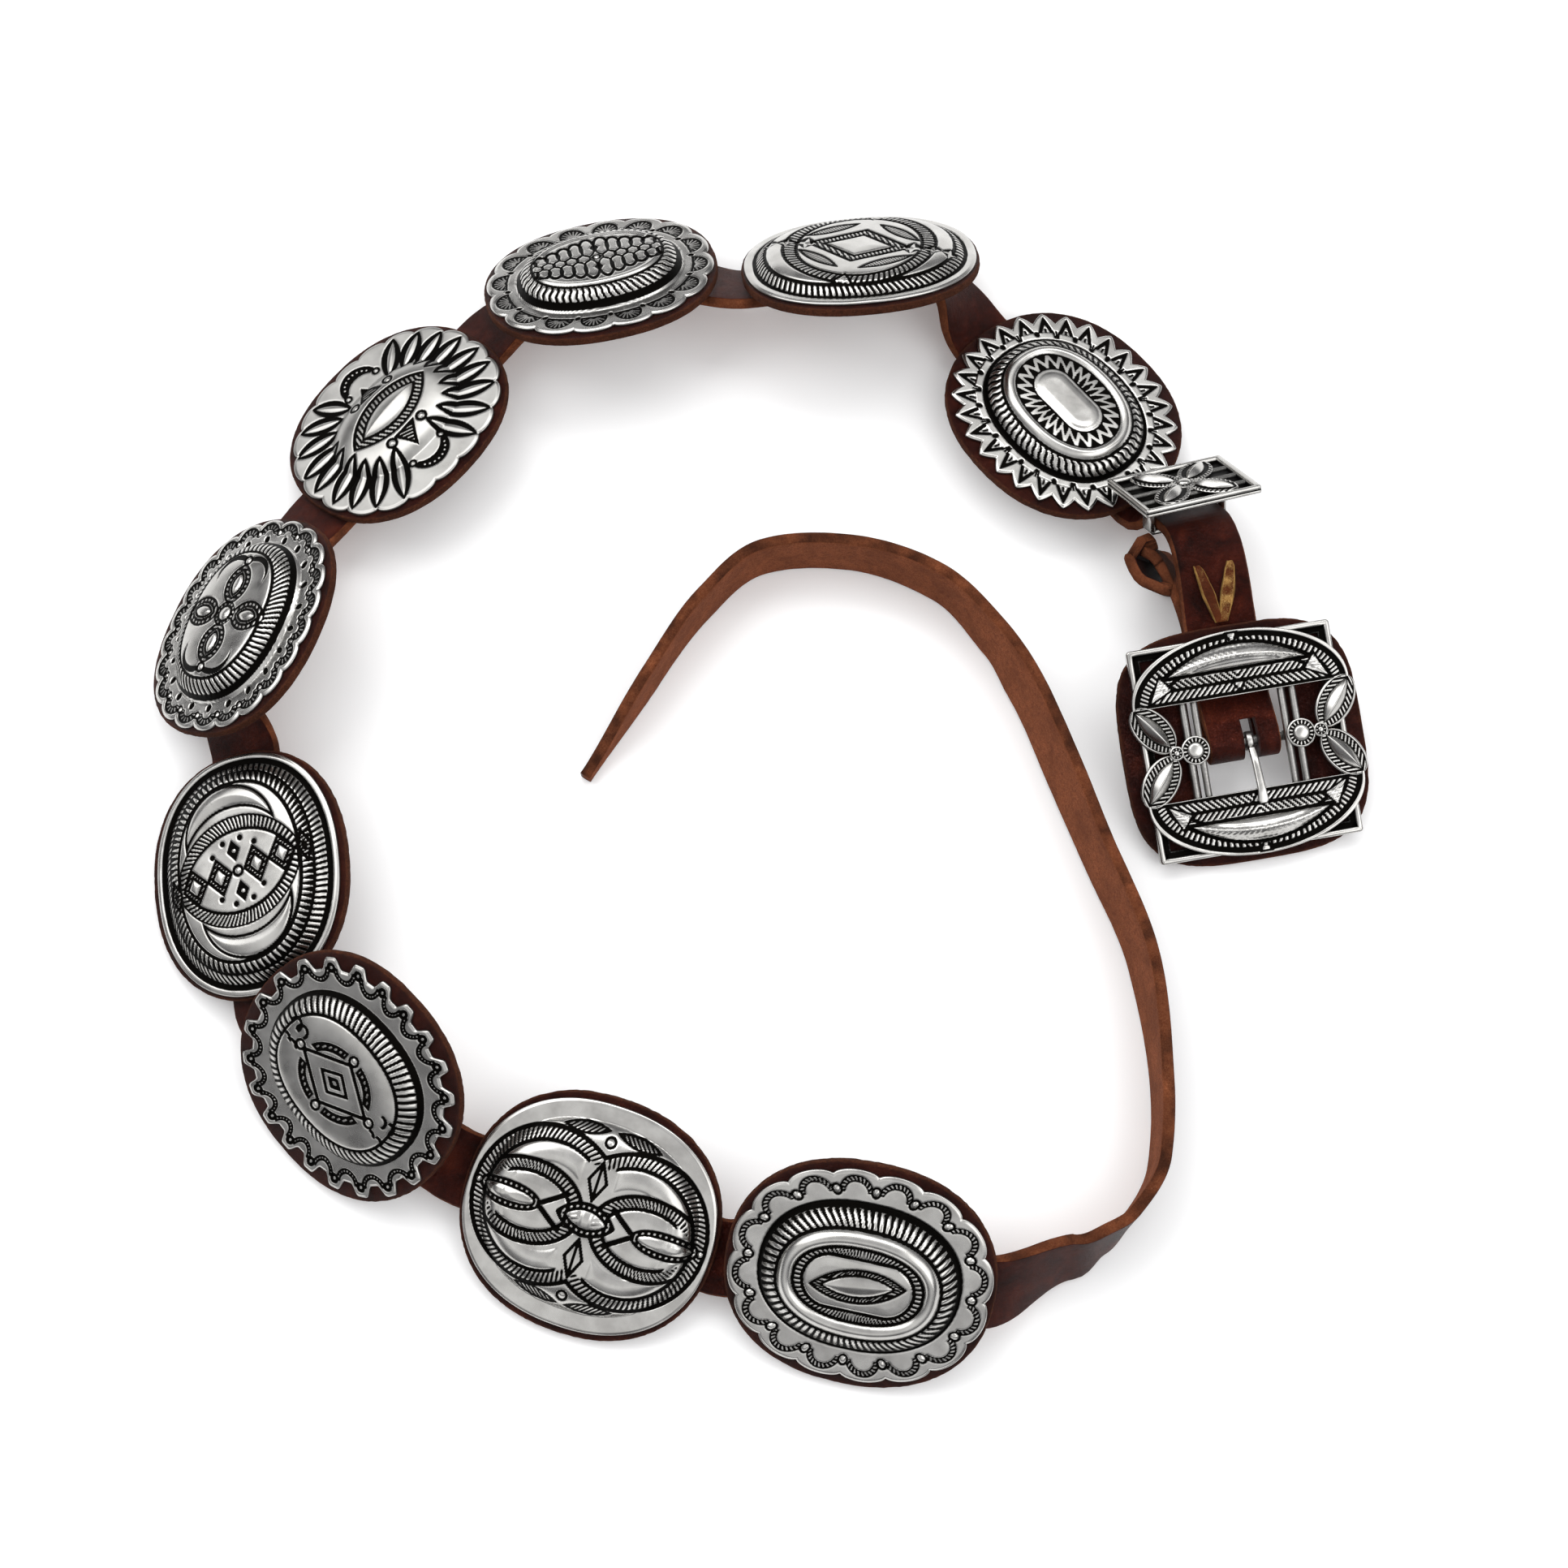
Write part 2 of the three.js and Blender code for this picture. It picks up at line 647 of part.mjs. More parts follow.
const free_hole_at = between(stations.at(-free_end.length - 1), stations.at(-free_end.length), 0.62);
const free_hole = peg(free_hole_at, 0, strap_hole / 2, strap_thickness, strap_thickness);

const strap = lofted(drawn(stations), strap_width, strap_thickness)
  .subtract(slot)
  .subtract(joined(lace_holes))
  .subtract(free_hole);
add('strap', geometry(strap), strap_leather);

// Buckle: an open square frame with raised edges, two half-oval overlays, two flowers, four rails
// and the bar under the window. All of it is soldered into one piece.
function halfOval(side) {
  const half_width = buckle_width / 2 + overlay_past_side;
  const low = window_height / 2;
  const high = buckle_height / 2 + overlay_past_top;
  const points = [];
  const steps = 14;
  for (let i = 0; i <= steps; i += 1) {
    const angle = i / steps * Math.PI;
    const x = Math.cos(angle) * half_width;
    points.push([x, low + Math.sin(angle) ** 0.9 * (high - low)]);
  }
  const both = side > 0 ? points : points.map(([x, y]) => [-x, -y]);
  return both.map(([x, y]) => [x + overlay_aside, y]);
}

// The polished half lens on an overlay: a straight lower edge and a bowed upper one.
function halfLens(side) {
  const low = window_height / 2 + lens_up;
  const points = [];
  const steps = 8;
  for (let i = 0; i <= steps; i += 1) {
    const share = i / steps;
    points.push([(0.5 - share) * lens_length, low + Math.sin(Math.PI * share) * lens_height]);
  }
  const both = side > 0 ? points : points.map(([x, y]) => [-x, -y]);
  return both.map(([x, y]) => [x + overlay_aside, y]);
}

function buckleSolid() {
  const half_w = buckle_width / 2;
  const half_h = buckle_height / 2;
  const inner = rectangle(-half_w + buckle_rim, half_w - buckle_rim,
    -half_h + buckle_rim, half_h - buckle_rim);
  const bead = buckle_rim * 0.45;
  const bead_inner = rectangle(-half_w + bead, half_w - bead, -half_h + bead, half_h - bead);
  const outer = rectangle(-half_w, half_w, -half_h, half_h);
  const parts = [
    plate(outer, 0, buckle_sheet, [inner]),
    plate(outer, buckle_sheet / 2, buckle_sheet + rim_rise, [bead_inner]),
  ];
  const rail_low = buckle_sheet * 0.25;
  const rail_high = buckle_sheet + rim_rise;
  const rail_reach = window_height / 2 + 3;
  for (const side of [-1, 1]) {
    for (const order of [0, 1]) {
      const near = window_width / 2 + order * (rail_width + rail_space);
      const edges = [side * near, side * (near + rail_width)].sort((a, b) => a - b);
      parts.push(block(edges[0], edges[1], -rail_reach, rail_reach, rail_low, rail_high));
    }
  }
  const shelf = buckle_sheet + rim_rise - 0.4;
  const overlay_top = shelf + overlay_sheet;
  for (const side of [-1, 1]) {
    parts.push(plate(halfOval(side), shelf, overlay_top));
    const middle = [overlay_aside, side * (window_height / 2 + lens_up + lens_height * 0.45)];
    const levels = [[1, shelf + overlay_sheet / 2], [0.6, overlay_top + lens_rise * 0.7]];
    parts.push(moulded(halfLens(side), levels, overlay_top + lens_rise, middle));
  }
  const flower_low = rail_high - 0.4;
  const flower_top = flower_low + overlay_sheet;
  for (const side of [-1, 1]) {
    const rosette_x = side * rosette_place + overlay_aside;
    const button_x = side * button_place + overlay_aside;
    for (const up of [-1, 1]) {
      const away = side > 0 ? petal_angle : 180 - petal_angle;
      const turn = radians(away * up);
      const x = rosette_x + Math.cos(turn) * petal_length / 2;
      const y = Math.sin(turn) * petal_length / 2;
      const petal = turned(lens(petal_length, petal_width), away * up, x, y);
      parts.push(moulded(petal, [[1, flower_low], [1, flower_top]],
        flower_top + petal_rise, [x, y]));
    }
    const disc = oval(button_radius, button_radius, 2, 14);
    parts.push(moulded(turned(disc, 0, button_x, 0),
      [[1, flower_low], [1, flower_top], [0.55, flower_top + 0.3]],
      flower_top + 1, [button_x, 0]));
    const small = oval(rosette_radius, rosette_radius, 2, 8);
    parts.push(plate(turned(small, 0, rosette_x, 0), flower_low, flower_top + 0.6));
  }
  const bar_half = window_width / 2 + rail_width;
  const bar = new THREE.CylinderGeometry(bar_diameter / 2, bar_diameter / 2, bar_half * 2, 12);
  bar.rotateZ(Math.PI / 2);
  bar.translate(0, 0, bar_centre);
  parts.push(solid(bar));
  for (const side of [-1, 1]) {
    const edges = [side * (window_width / 2 + 0.2), side * bar_half].sort((a, b) => a - b);
    parts.push(block(edges[0], edges[1], -bar_diameter / 2, bar_diameter / 2,
      bar_centre, buckle_sheet));
  }
  return joined(parts);
}

// The buckle is drawn with X across the belt and Y along it, so its own axes are s reversed and t.
const face_frame = {
  t: buckle_frame.s.clone().negate(),
  s: buckle_frame.t,
  n: buckle_frame.n,
};
add('buckle', geometry(buckleSolid()), silver, face_frame, buckle_origin);

function buckleBacking() {
  const edge = oval(buckle_width / 2 + buckle_backing_past_side, backing_half,
    buckle_backing_squareness, 36);
  const reach = window_width / 2 + rail_width + slot_room * 2;
  const opening = rectangle(-reach, reach, -window_height / 2 - 1, window_height / 2 + 1);
  return plate(edge, -gap - backing_thickness, -gap, [opening]);
}
add('buckle_backing', geometry(buckleBacking()), dark_leather, face_frame, buckle_origin);

// The tongue: an eye round the bar and a shaft that rests on the lower overlay.
function tongueSolid() {
  const ring_in = bar_diameter / 2 + gap;
  const ring_out = ring_in + tongue_ring_wall;
  const sides = 16;
  const circle = (radius) => oval(radius, radius, 2, sides);
  const eye_shape = new THREE.Shape(circle(ring_out).map(([x, y]) => new THREE.Vector2(x, y)));
  eye_shape.holes.push(new THREE.Path(circle(ring_in).map(([x, y]) => new THREE.Vector2(x, y))));
  const eye = new THREE.ExtrudeGeometry(eye_shape, { depth: tongue_wire, bevelEnabled: false });
  eye.translate(0, 0, -tongue_wire / 2);
  eye.rotateY(Math.PI / 2);
  const rest = buckle_sheet + rim_rise - 0.4 + overlay_sheet + gap - bar_centre;
  const tip_v = -(window_height / 2 + 5);
  const rows = [
    { v: -ring_in, h: ring_in + 0.2, wide: tongue_wire, thick: tongue_wire * 0.7 },
    { v: -fold_radius * 1.6, h: rest * 0.62, wide: tongue_wire, thick: tongue_wire * 0.8 },
    { v: tip_v * 0.78, h: rest * 1.02, wide: tongue_wire * 1.1, thick: tongue_wire * 0.7 },
    { v: tip_v, h: rest, wide: tongue_tip_width, thick: tongue_tip_thickness },
  ];
  const points = [];
  for (const { v, h, wide, thick } of rows) {
    points.push([-wide / 2, v, h], [wide / 2, v, h]);
    points.push([wide / 2, v, h + thick], [-wide / 2, v, h + thick]);
  }
  const faces = [];
  for (let i = 0; i + 1 < rows.length; i += 1) {
    for (let k = 0; k < 4; k += 1) {
      const next = (k + 1) % 4;
      faces.push(i * 4 + k, i * 4 + next, i * 4 + 4 + next);
      faces.push(i * 4 + k, i * 4 + 4 + next, i * 4 + 4 + k);
    }
  }
  const end = (rows.length - 1) * 4;
  faces.push(0, 2, 1, 0, 3, 2);
  faces.push(end, end + 1, end + 2, end, end + 2, end + 3);
  return joined([solid(eye), solid(indexed(points, faces))]);
}
const hinge = at(buckle_frame, buckle_origin, 0, tongue_offset, bar_centre);
add('buckle_tongue', geometry(tongueSolid()), silver, face_frame, hinge);

// Keeper: a framed plate with ribs and a flower, and a flat loop below for the strap.
function keeperSolid() {
  const half_w = keeper_width / 2;
  const half_d = keeper_depth / 2;
  const outer = rectangle(-half_d, half_d, -half_w, half_w);
  const inner = rectangle(-half_d + keeper_rim, half_d - keeper_rim,
    -half_w + keeper_rim, half_w - keeper_rim);
  const parts = [
    plate(outer, 0, keeper_sheet),
    plate(outer, keeper_sheet / 2, keeper_sheet + keeper_rim_rise, [inner]),
  ];
  const rib_top = keeper_sheet + 1.2;
  for (const order of [-1, 0, 1]) {
    const x = order * keeper_depth * 0.22;
    parts.push(block(x - keeper_rib_width / 2, x + keeper_rib_width / 2,
      -half_w + keeper_rim / 2, half_w - keeper_rim / 2, keeper_sheet / 2, rib_top));
  }
  const petal_low = rib_top - 0.3;
  const petal_reach = keeper_width * 0.36;
  for (const turn of [-132, -48, 48, 132]) {
    const away = petal_reach / 2 + 2.4;
    const x = Math.cos(radians(turn)) * away;
    const y = Math.sin(radians(turn)) * away;
    parts.push(moulded(turned(lens(petal_reach, keeper_depth * 0.3), turn, x, y),
      [[1, petal_low], [1, petal_low + 1.2]], petal_low + 1.2 + petal_rise * 0.7, [x, y]));
  }
  parts.push(moulded(oval(4.4, 4.4, 2, 12), [[1, petal_low], [1, petal_low + 1.2]],
    petal_low + 2.2));
  const leg_in = strap_width / 2 + gap;
  const leg_out = leg_in + keeper_loop_sheet;
  const depth = keeper_inside + keeper_loop_sheet;
  const half_loop = keeper_loop_width / 2;
  parts.push(block(-half_loop, half_loop, leg_in, leg_out, -depth, keeper_sheet / 2));
  parts.push(block(-half_loop, half_loop, -leg_out, -leg_in, -depth, keeper_sheet / 2));
  parts.push(block(-half_loop, half_loop, -leg_out, leg_out, -depth, -keeper_inside));
  return joined(parts);
}
add('keeper', geometry(keeperSolid()), silver, keeper_frame, keeper_origin);

// The origin is the middle of the belt's outline on the table.
belt.updateMatrixWorld(true);
const box = new THREE.Box3().setFromObject(belt, true);
const middle = box.getCenter(new THREE.Vector3());
belt.position.set(-middle.x, -middle.y, -box.min.z);
belt.updateMatrixWorld(true);

export default belt;
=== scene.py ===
# %% [markdown]
# # A concho belt in silver and leather
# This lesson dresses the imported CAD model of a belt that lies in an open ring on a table: nine
# domed silver conchos on leather backings, a heavy strap, a square buckle and a keeper. The CAD
# solids give every place and size. Here each of them is replaced by a finer mesh in the same
# place, with stamped relief in the silver and grain in the leather.

# %% Load the frame
import bpy
import bmesh
import numpy as np
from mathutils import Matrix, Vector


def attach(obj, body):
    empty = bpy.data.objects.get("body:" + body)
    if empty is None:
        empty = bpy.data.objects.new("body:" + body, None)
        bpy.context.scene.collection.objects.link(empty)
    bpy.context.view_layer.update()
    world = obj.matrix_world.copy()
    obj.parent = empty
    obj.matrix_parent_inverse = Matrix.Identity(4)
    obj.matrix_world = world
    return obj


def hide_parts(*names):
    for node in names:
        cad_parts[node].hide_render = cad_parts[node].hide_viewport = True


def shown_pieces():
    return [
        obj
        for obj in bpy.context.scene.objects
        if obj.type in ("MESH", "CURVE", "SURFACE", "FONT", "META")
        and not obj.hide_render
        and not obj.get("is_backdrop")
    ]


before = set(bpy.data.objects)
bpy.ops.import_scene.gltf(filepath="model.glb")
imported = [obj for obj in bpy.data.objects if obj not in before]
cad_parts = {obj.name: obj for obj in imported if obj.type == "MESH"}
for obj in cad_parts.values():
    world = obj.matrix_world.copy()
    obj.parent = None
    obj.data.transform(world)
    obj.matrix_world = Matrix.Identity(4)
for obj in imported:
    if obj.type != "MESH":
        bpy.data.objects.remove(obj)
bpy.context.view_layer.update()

# %% [markdown]
# ## Numbers first, meshes second
# Everything is worked out in millimetres with numpy and turned into metres when a mesh is made.
# A piece has its own axes: along the belt, across it and out of its face. The same few turns that
# placed it in the CAD place it here, so nothing has to be fitted by eye.

# %% Axes, noise and mesh making
MM = 0.001


def axes(heading, tilt, climb):
    """A piece's own axes as rows: along the belt, across it, and out of its face."""
    turn, lean, rise = np.radians([heading, tilt, climb])
    out = np.array([np.sin(turn), -np.cos(turn), 0])
    along = np.array([np.cos(turn) * np.cos(rise), np.sin(turn) * np.cos(rise), np.sin(rise)])
    level = np.cross(out, along)
    face = level / np.linalg.norm(level) * np.cos(lean) + out * np.sin(lean)
    across = np.cross(face, along)
    return np.array([along, across / np.linalg.norm(across), face])


def noise(points, size, seed):
    """Smooth random values from -1 to 1, one a point: size is the width of a bump in mm."""
    lattice = np.random.default_rng(seed).uniform(-1, 1, (32, 32, 32))
    cell = np.asarray(points) / size
    low = np.floor(cell).astype(int)
    part = cell - low
    part = part * part * (3 - 2 * part)
    value = np.zeros(len(cell))
    for i, j, k in np.ndindex(2, 2, 2):
        share = np.abs(1 - np.array([i, j, k]) - part).prod(axis=1)
        value += share * lattice[tuple(((low + [i, j, k]) % 32).T)]
    return value


def smooth(value, low, high):
    """0 below low, 1 above high and an eased step between."""
    share = np.clip((value - low) / (high - low), 0, 1)
    return share * share * (3 - 2 * share)


def squared(wave, power):
    """A sine or cosine with fuller shoulders, which makes a circle squarish."""
    return np.sign(wave) * np.abs(wave) ** power


def round_grid(count):
    """A square grid of points pulled into a unit disc, with no thin slices at the middle."""
    p, q = np.meshgrid(*[np.linspace(-1, 1, count)] * 2)
    return p * np.sqrt(1 - q * q / 2), q * np.sqrt(1 - p * p / 2)


# %% From points and faces to an object
class Shape:
    """Points, faces and values a point, gathered until they become one Blender object."""

    def __init__(self):
        self.points, self.quads, self.triangles, self.values, self.count = [], [], [], [], 0

    def add(self, points, quads=(), triangles=(), **values):
        points = np.asarray(points, float).reshape(-1, 3)
        for faces, kept, corners in ((quads, self.quads, 4), (triangles, self.triangles, 3)):
            if len(faces):
                kept.append(np.asarray(faces, int).reshape(-1, corners) + self.count)
        self.points.append(points)
        self.values.append({k: np.broadcast_to(v, len(points)) for k, v in values.items()})
        self.count += len(points)

    def tube(self, rings, ends, flipped=False, **values):
        """Rings of points joined into a closed tube, with a fan round a point at each end."""
        count = len(rings[0])
        first = np.arange(count)
        last, centre = (len(rings) - 1) * count + first, np.full(count, len(rings) * count)
        caps = np.concatenate([np.stack([np.roll(first, -1), first, centre], axis=1),
                               np.stack([last, np.roll(last, -1), centre + 1], axis=1)])
        way = -1 if flipped else 1
        self.add(np.concatenate([*rings, ends]),
                 grid_faces(len(rings), count, closed=True)[:, ::way], caps[:, ::way], **values)

    def place(self, frame_axes, origin):
        self.points = [origin + points @ frame_axes for points in self.points]

    def make(self, name):
        """One mesh object in metres, with smooth faces and the gathered values as attributes."""
        points = np.concatenate(self.points) * MM
        quads = np.concatenate(self.quads) if self.quads else np.zeros((0, 4), int)
        triangles = np.concatenate(self.triangles) if self.triangles else np.zeros((0, 3), int)
        mesh = bpy.data.meshes.new(name)
        mesh.vertices.add(len(points))
        mesh.vertices.foreach_set("co", points.astype(np.float32).ravel())
        corners = np.concatenate([quads.ravel(), triangles.ravel()])
        sizes = np.concatenate([np.full(len(quads), 4), np.full(len(triangles), 3)])
        mesh.loops.add(len(corners))
        mesh.loops.foreach_set("vertex_index", corners.astype(np.int32))
        mesh.polygons.add(len(sizes))
        starts = np.concatenate([[0], np.cumsum(sizes)[:-1]])
        mesh.polygons.foreach_set("loop_start", starts.astype(np.int32))
        mesh.polygons.foreach_set("use_smooth", np.ones(len(sizes), bool))
        mesh.update(calc_edges=True)
        for key in sorted({k for row in self.values for k in row}):
            value = np.concatenate([row.get(key, np.zeros(len(p)))
                                    for row, p in zip(self.values, self.points)])
            layer = mesh.attributes.new(key, "FLOAT", "POINT")
            layer.data.foreach_set("value", value.astype(np.float32))
        mesh.validate()
        made = bpy.data.objects.new(name, mesh)
        bpy.context.scene.collection.objects.link(made)
        return made


def grid_faces(rows, columns, closed=False):
    """Quads over a grid of rows and columns; closed joins the last column to the first."""
    i = np.arange(rows - 1)[:, None]
    j = np.arange(columns if closed else columns - 1)[None, :]
    after = (j + 1) % columns
    a, b = i * columns + j, i * columns + after
    c, d = (i + 1) * columns + after, (i + 1) * columns + j
    return np.stack([a, b, c, d], axis=-1).reshape(-1, 4)


def hoop_faces(rows, columns):
    """Quads over a grid that closes both ways, like a ring's skin."""
    return grid_faces(rows + 1, columns, closed=True) % (rows * columns)


# %% [markdown]
# ## Finishes as nodes
# The silver is old: its high places are polished by wear and its cuts are black with tarnish. So
# every silver vertex carries a number called dark, and the shader mixes from bright metal to
# black by it. The leather has three sides: the grain, which is dark oxblood, the flesh side and
# the cut edges, which are rough and orange-brown. A number called raw says how much of each.

# %% Node helpers
def node(tree, kind, inputs=(), **settings):
    """A shader node: inputs are numbers, colours or the sockets that feed it."""
    made = tree.nodes.new(kind)
    for key, value in settings.items():
        setattr(made, key, value)
    for key, value in dict(inputs).items():
        if isinstance(value, bpy.types.NodeSocket):
            tree.links.new(value, made.inputs[key])
        else:
            made.inputs[key].default_value = value
    return made


def new_finish(name):
    finish = bpy.data.materials.new(name)
    finish.use_nodes = True
    return finish, finish.node_tree, finish.node_tree.nodes["Principled BSDF"]


def value_of(tree, name):
    return node(tree, "ShaderNodeAttribute", attribute_name=name).outputs["Fac"]


def speckle(tree, size_mm, detail=4, roughness=0.55, distortion=0.0):
    """Noise in the object's own space, with bumps of about size_mm."""
    where = node(tree, "ShaderNodeTexCoord").outputs["Object"]
    return node(tree, "ShaderNodeTexNoise", {
        "Vector": where, "Scale": 1 / (size_mm * MM), "Detail": detail,
        "Roughness": roughness, "Distortion": distortion}).outputs["Fac"]


def ramp(tree, value, stops):
    made = node(tree, "ShaderNodeValToRGB", {"Fac": value})
    while len(made.color_ramp.elements) < len(stops):
        made.color_ramp.elements.new(0.5)
    for element, (place, colour) in zip(made.color_ramp.elements, stops):
        element.position = place
        element.color = (*colour, 1)
    return made.outputs["Color"]


def mixed(tree, share, first, second):
    made = node(tree, "ShaderNodeMix", data_type="RGBA")
    for socket, value in ((made.inputs[0], share), (made.inputs[6], first),
                          (made.inputs[7], second)):
        if isinstance(value, bpy.types.NodeSocket):
            tree.links.new(value, socket)
        elif isinstance(value, (tuple, list)):
            socket.default_value = (*value, 1)
        else:
            socket.default_value = value
    return made.outputs[2]


def reckon(tree, operation, first, second=0.0):
    return node(tree, "ShaderNodeMath", {0: first, 1: second}, operation=operation).outputs[0]


def span(tree, value, low, high, to_low, to_high):
    return node(tree, "ShaderNodeMapRange", {
        "Value": value, "From Min": low, "From Max": high,
        "To Min": to_low, "To Max": to_high}).outputs["Result"]


# %% The silver
def silver_finish(name):
    """Worn silver: bright relief, black cuts, soft brushing and small knocks."""
    finish, tree, shader = new_finish(name)
    cuts = value_of(tree, "dark")
    grey = value_of(tree, "grey")
    blotch = speckle(tree, 9, 3)
    fine = speckle(tree, 0.55, 3)
    black = reckon(tree, "ADD", cuts, span(tree, fine, 0.3, 0.7, -0.05, 0.05))
    black = span(tree, black, 0.12, 0.5, 0.0, 1.0)
    bright = ramp(tree, blotch, [(0.3, (0.44, 0.43, 0.41)), (0.66, (0.62, 0.61, 0.585))])
    dull = mixed(tree, grey, bright, (0.20, 0.197, 0.187))
    colour = mixed(tree, black, dull, (0.004, 0.0035, 0.003))
    tree.links.new(colour, shader.inputs["Base Color"])
    worn = span(tree, blotch, 0.3, 0.7, 0.19, 0.29)
    worn = reckon(tree, "ADD", worn, reckon(tree, "MULTIPLY", grey, 0.18))
    rough = reckon(tree, "ADD", worn, reckon(tree, "MULTIPLY", black, 0.34))
    tree.links.new(rough, shader.inputs["Roughness"])
    shader.inputs["Metallic"].default_value = 1.0
    bump = node(tree, "ShaderNodeBump", {
        "Height": speckle(tree, 4.5, 1, 0.5), "Strength": 0.12, "Distance": 0.12 * MM})
    tree.links.new(bump.outputs["Normal"], shader.inputs["Normal"])
    return finish


silver = silver_finish("worn_silver")


# %% The leather
def leather_finish(name, grain, raw, deep):
    """Leather: grain colours by a soft blotch, fine creases, and raw sides with loose fibres."""
    finish, tree, shader = new_finish(name)
    rawness = value_of(tree, "raw")
    shade = value_of(tree, "shade")
    blotch = speckle(tree, 11, 5, 0.6, 0.4)
    pores = speckle(tree, 0.7, 6, 0.7)
    fibre = speckle(tree, 0.45, 6, 0.75, 1.2)
    where = node(tree, "ShaderNodeTexCoord").outputs["Object"]
    swirl = node(tree, "ShaderNodeTexNoise", {"Vector": where, "Scale": 260.0, "Detail": 3.0})
    bent = node(tree, "ShaderNodeVectorMath", {0: where, 1: swirl.outputs["Color"]},
                operation="MULTIPLY")
    crease = node(tree, "ShaderNodeTexVoronoi", {
        "Vector": bent.outputs[0], "Scale": 520.0}, feature="DISTANCE_TO_EDGE").outputs["Distance"]
    lines = span(tree, crease, 0.0, 0.16, 0.0, 1.0)
    skin = ramp(tree, blotch, [(0.28, grain[0]), (0.52, grain[1]), (0.75, grain[2])])
    skin = mixed(tree, span(tree, lines, 0.0, 1.0, 0.6, 0.0), skin, deep)
    hair = ramp(tree, fibre, [(0.3, raw[0]), (0.5, raw[1]), (0.72, raw[2])])
    hair = mixed(tree, span(tree, blotch, 0.35, 0.7, 0.55, 0.0), hair, raw[0])
    hair = mixed(tree, span(tree, speckle(tree, 1.6, 4, 0.7), 0.5, 0.66, 0.0, 0.5), hair, raw[0])
    edge = reckon(tree, "ADD", rawness, span(tree, fibre, 0.3, 0.7, -0.25, 0.25))
    side = span(tree, edge, 0.3, 0.7, 0.0, 1.0)
    colour = mixed(tree, shade, mixed(tree, side, skin, hair), deep)
    tree.links.new(colour, shader.inputs["Base Color"])
    tree.links.new(span(tree, side, 0.0, 1.0, 0.36, 0.95), shader.inputs["Roughness"])
    shader.inputs["Specular IOR Level"].default_value = 0.16
    skin_relief = reckon(tree, "ADD", reckon(tree, "MULTIPLY", lines, 0.7), pores)
    relief = node(tree, "ShaderNodeMix", {0: side, 2: skin_relief, 3: fibre}, data_type="FLOAT")
    bump = node(tree, "ShaderNodeBump", {
        "Height": relief.outputs[0], "Strength": 0.8, "Distance": 0.45 * MM})
    tree.links.new(bump.outputs["Normal"], shader.inputs["Normal"])
    return finish


oxblood = ((0.018, 0.0028, 0.0014), (0.075, 0.0105, 0.0048), (0.155, 0.027, 0.011))
suede = ((0.022, 0.006, 0.003), (0.080, 0.023, 0.010), (0.19, 0.068, 0.030))
flesh = ((0.095, 0.026, 0.010), (0.270, 0.078, 0.030), (0.46, 0.170, 0.078))
strap_finish = leather_finish("oxblood_strap", oxblood, flesh, (0.006, 0.002, 0.0015))
backing_skin = ((0.014, 0.003, 0.002), (0.045, 0.008, 0.005), (0.09, 0.018, 0.009))
backing_finish = leather_finish("dark_backing", backing_skin, suede, (0.005, 0.002, 0.0015))
lace_skin = ((0.075, 0.016, 0.005), (0.17, 0.040, 0.012), (0.27, 0.075, 0.02))
lace_raw = ((0.36, 0.17, 0.04), (0.62, 0.36, 0.10), (0.80, 0.58, 0.26))
lace_finish = leather_finish("lacing_thong", lace_skin, lace_raw, (0.02, 0.006, 0.003))
print("finishes:", [m.name for m in (silver, strap_finish, backing_finish, lace_finish)])


def dress(piece, node_name, finish, body="belt"):
    """The finish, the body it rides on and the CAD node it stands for."""
    piece.data.materials.append(finish)
    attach(piece, body)
    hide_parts(node_name)
    print(f"{piece.name}: {len(piece.data.vertices)} points, {len(piece.data.polygons)} faces")
    return piece


# %% [markdown]
# ## The stamps
# A silversmith cuts these designs with steel stamps: bands of strokes, ropes, arcs, dots and
# lenses struck one by one into the sheet. Each stamp here is a distance: how far a point lies
# inside or outside its outline. Pressing it lowers the surface and blackens it. Because the
# marks are in the mesh itself, they catch the light and also show in an exported model.

# %% Distances to simple outlines: negative inside
SOFT = 0.36  # width of the slope at the side of a cut, in mm
BOLD = 0.1  # how far a cut spreads past its outline, in mm


def turned(x, y, cx, cy, degrees):
    """The places seen from a centre and along axes turned by the angle."""
    c, s = np.cos(np.radians(degrees)), np.sin(np.radians(degrees))
    return (x - cx) * c + (y - cy) * s, -(x - cx) * s + (y - cy) * c


def within(*outlines):
    """Inside every one of the outlines: a minus sign before one means outside it."""
    return np.maximum.reduce(np.broadcast_arrays(*outlines))


def disc(x, y, cx, cy, radius):
    return np.hypot(x - cx, y - cy) - radius


def ellipse(x, y, cx, cy, a, b):
    px, py = x - cx, y - cy
    size = np.hypot(px / a, py / b)
    slope = np.maximum(np.hypot(px / a ** 2, py / b ** 2), 1e-6)
    return size * (size - 1) / slope


def lens(x, y, cx, cy, length, width, degrees=0):
    """A pointed lens between two arcs."""
    px, py = turned(x, y, cx, cy, degrees)
    half, rise = length / 2, width / 2
    radius = (half ** 2 + rise ** 2) / (2 * rise)
    return np.hypot(px, np.abs(py) + radius - rise) - radius


def stadium(x, y, half_length, half_width):
    """A bar with round ends, round the middle."""
    beyond = np.maximum(np.abs(x) - (half_length - half_width), 0)
    return np.hypot(beyond, y) - half_width


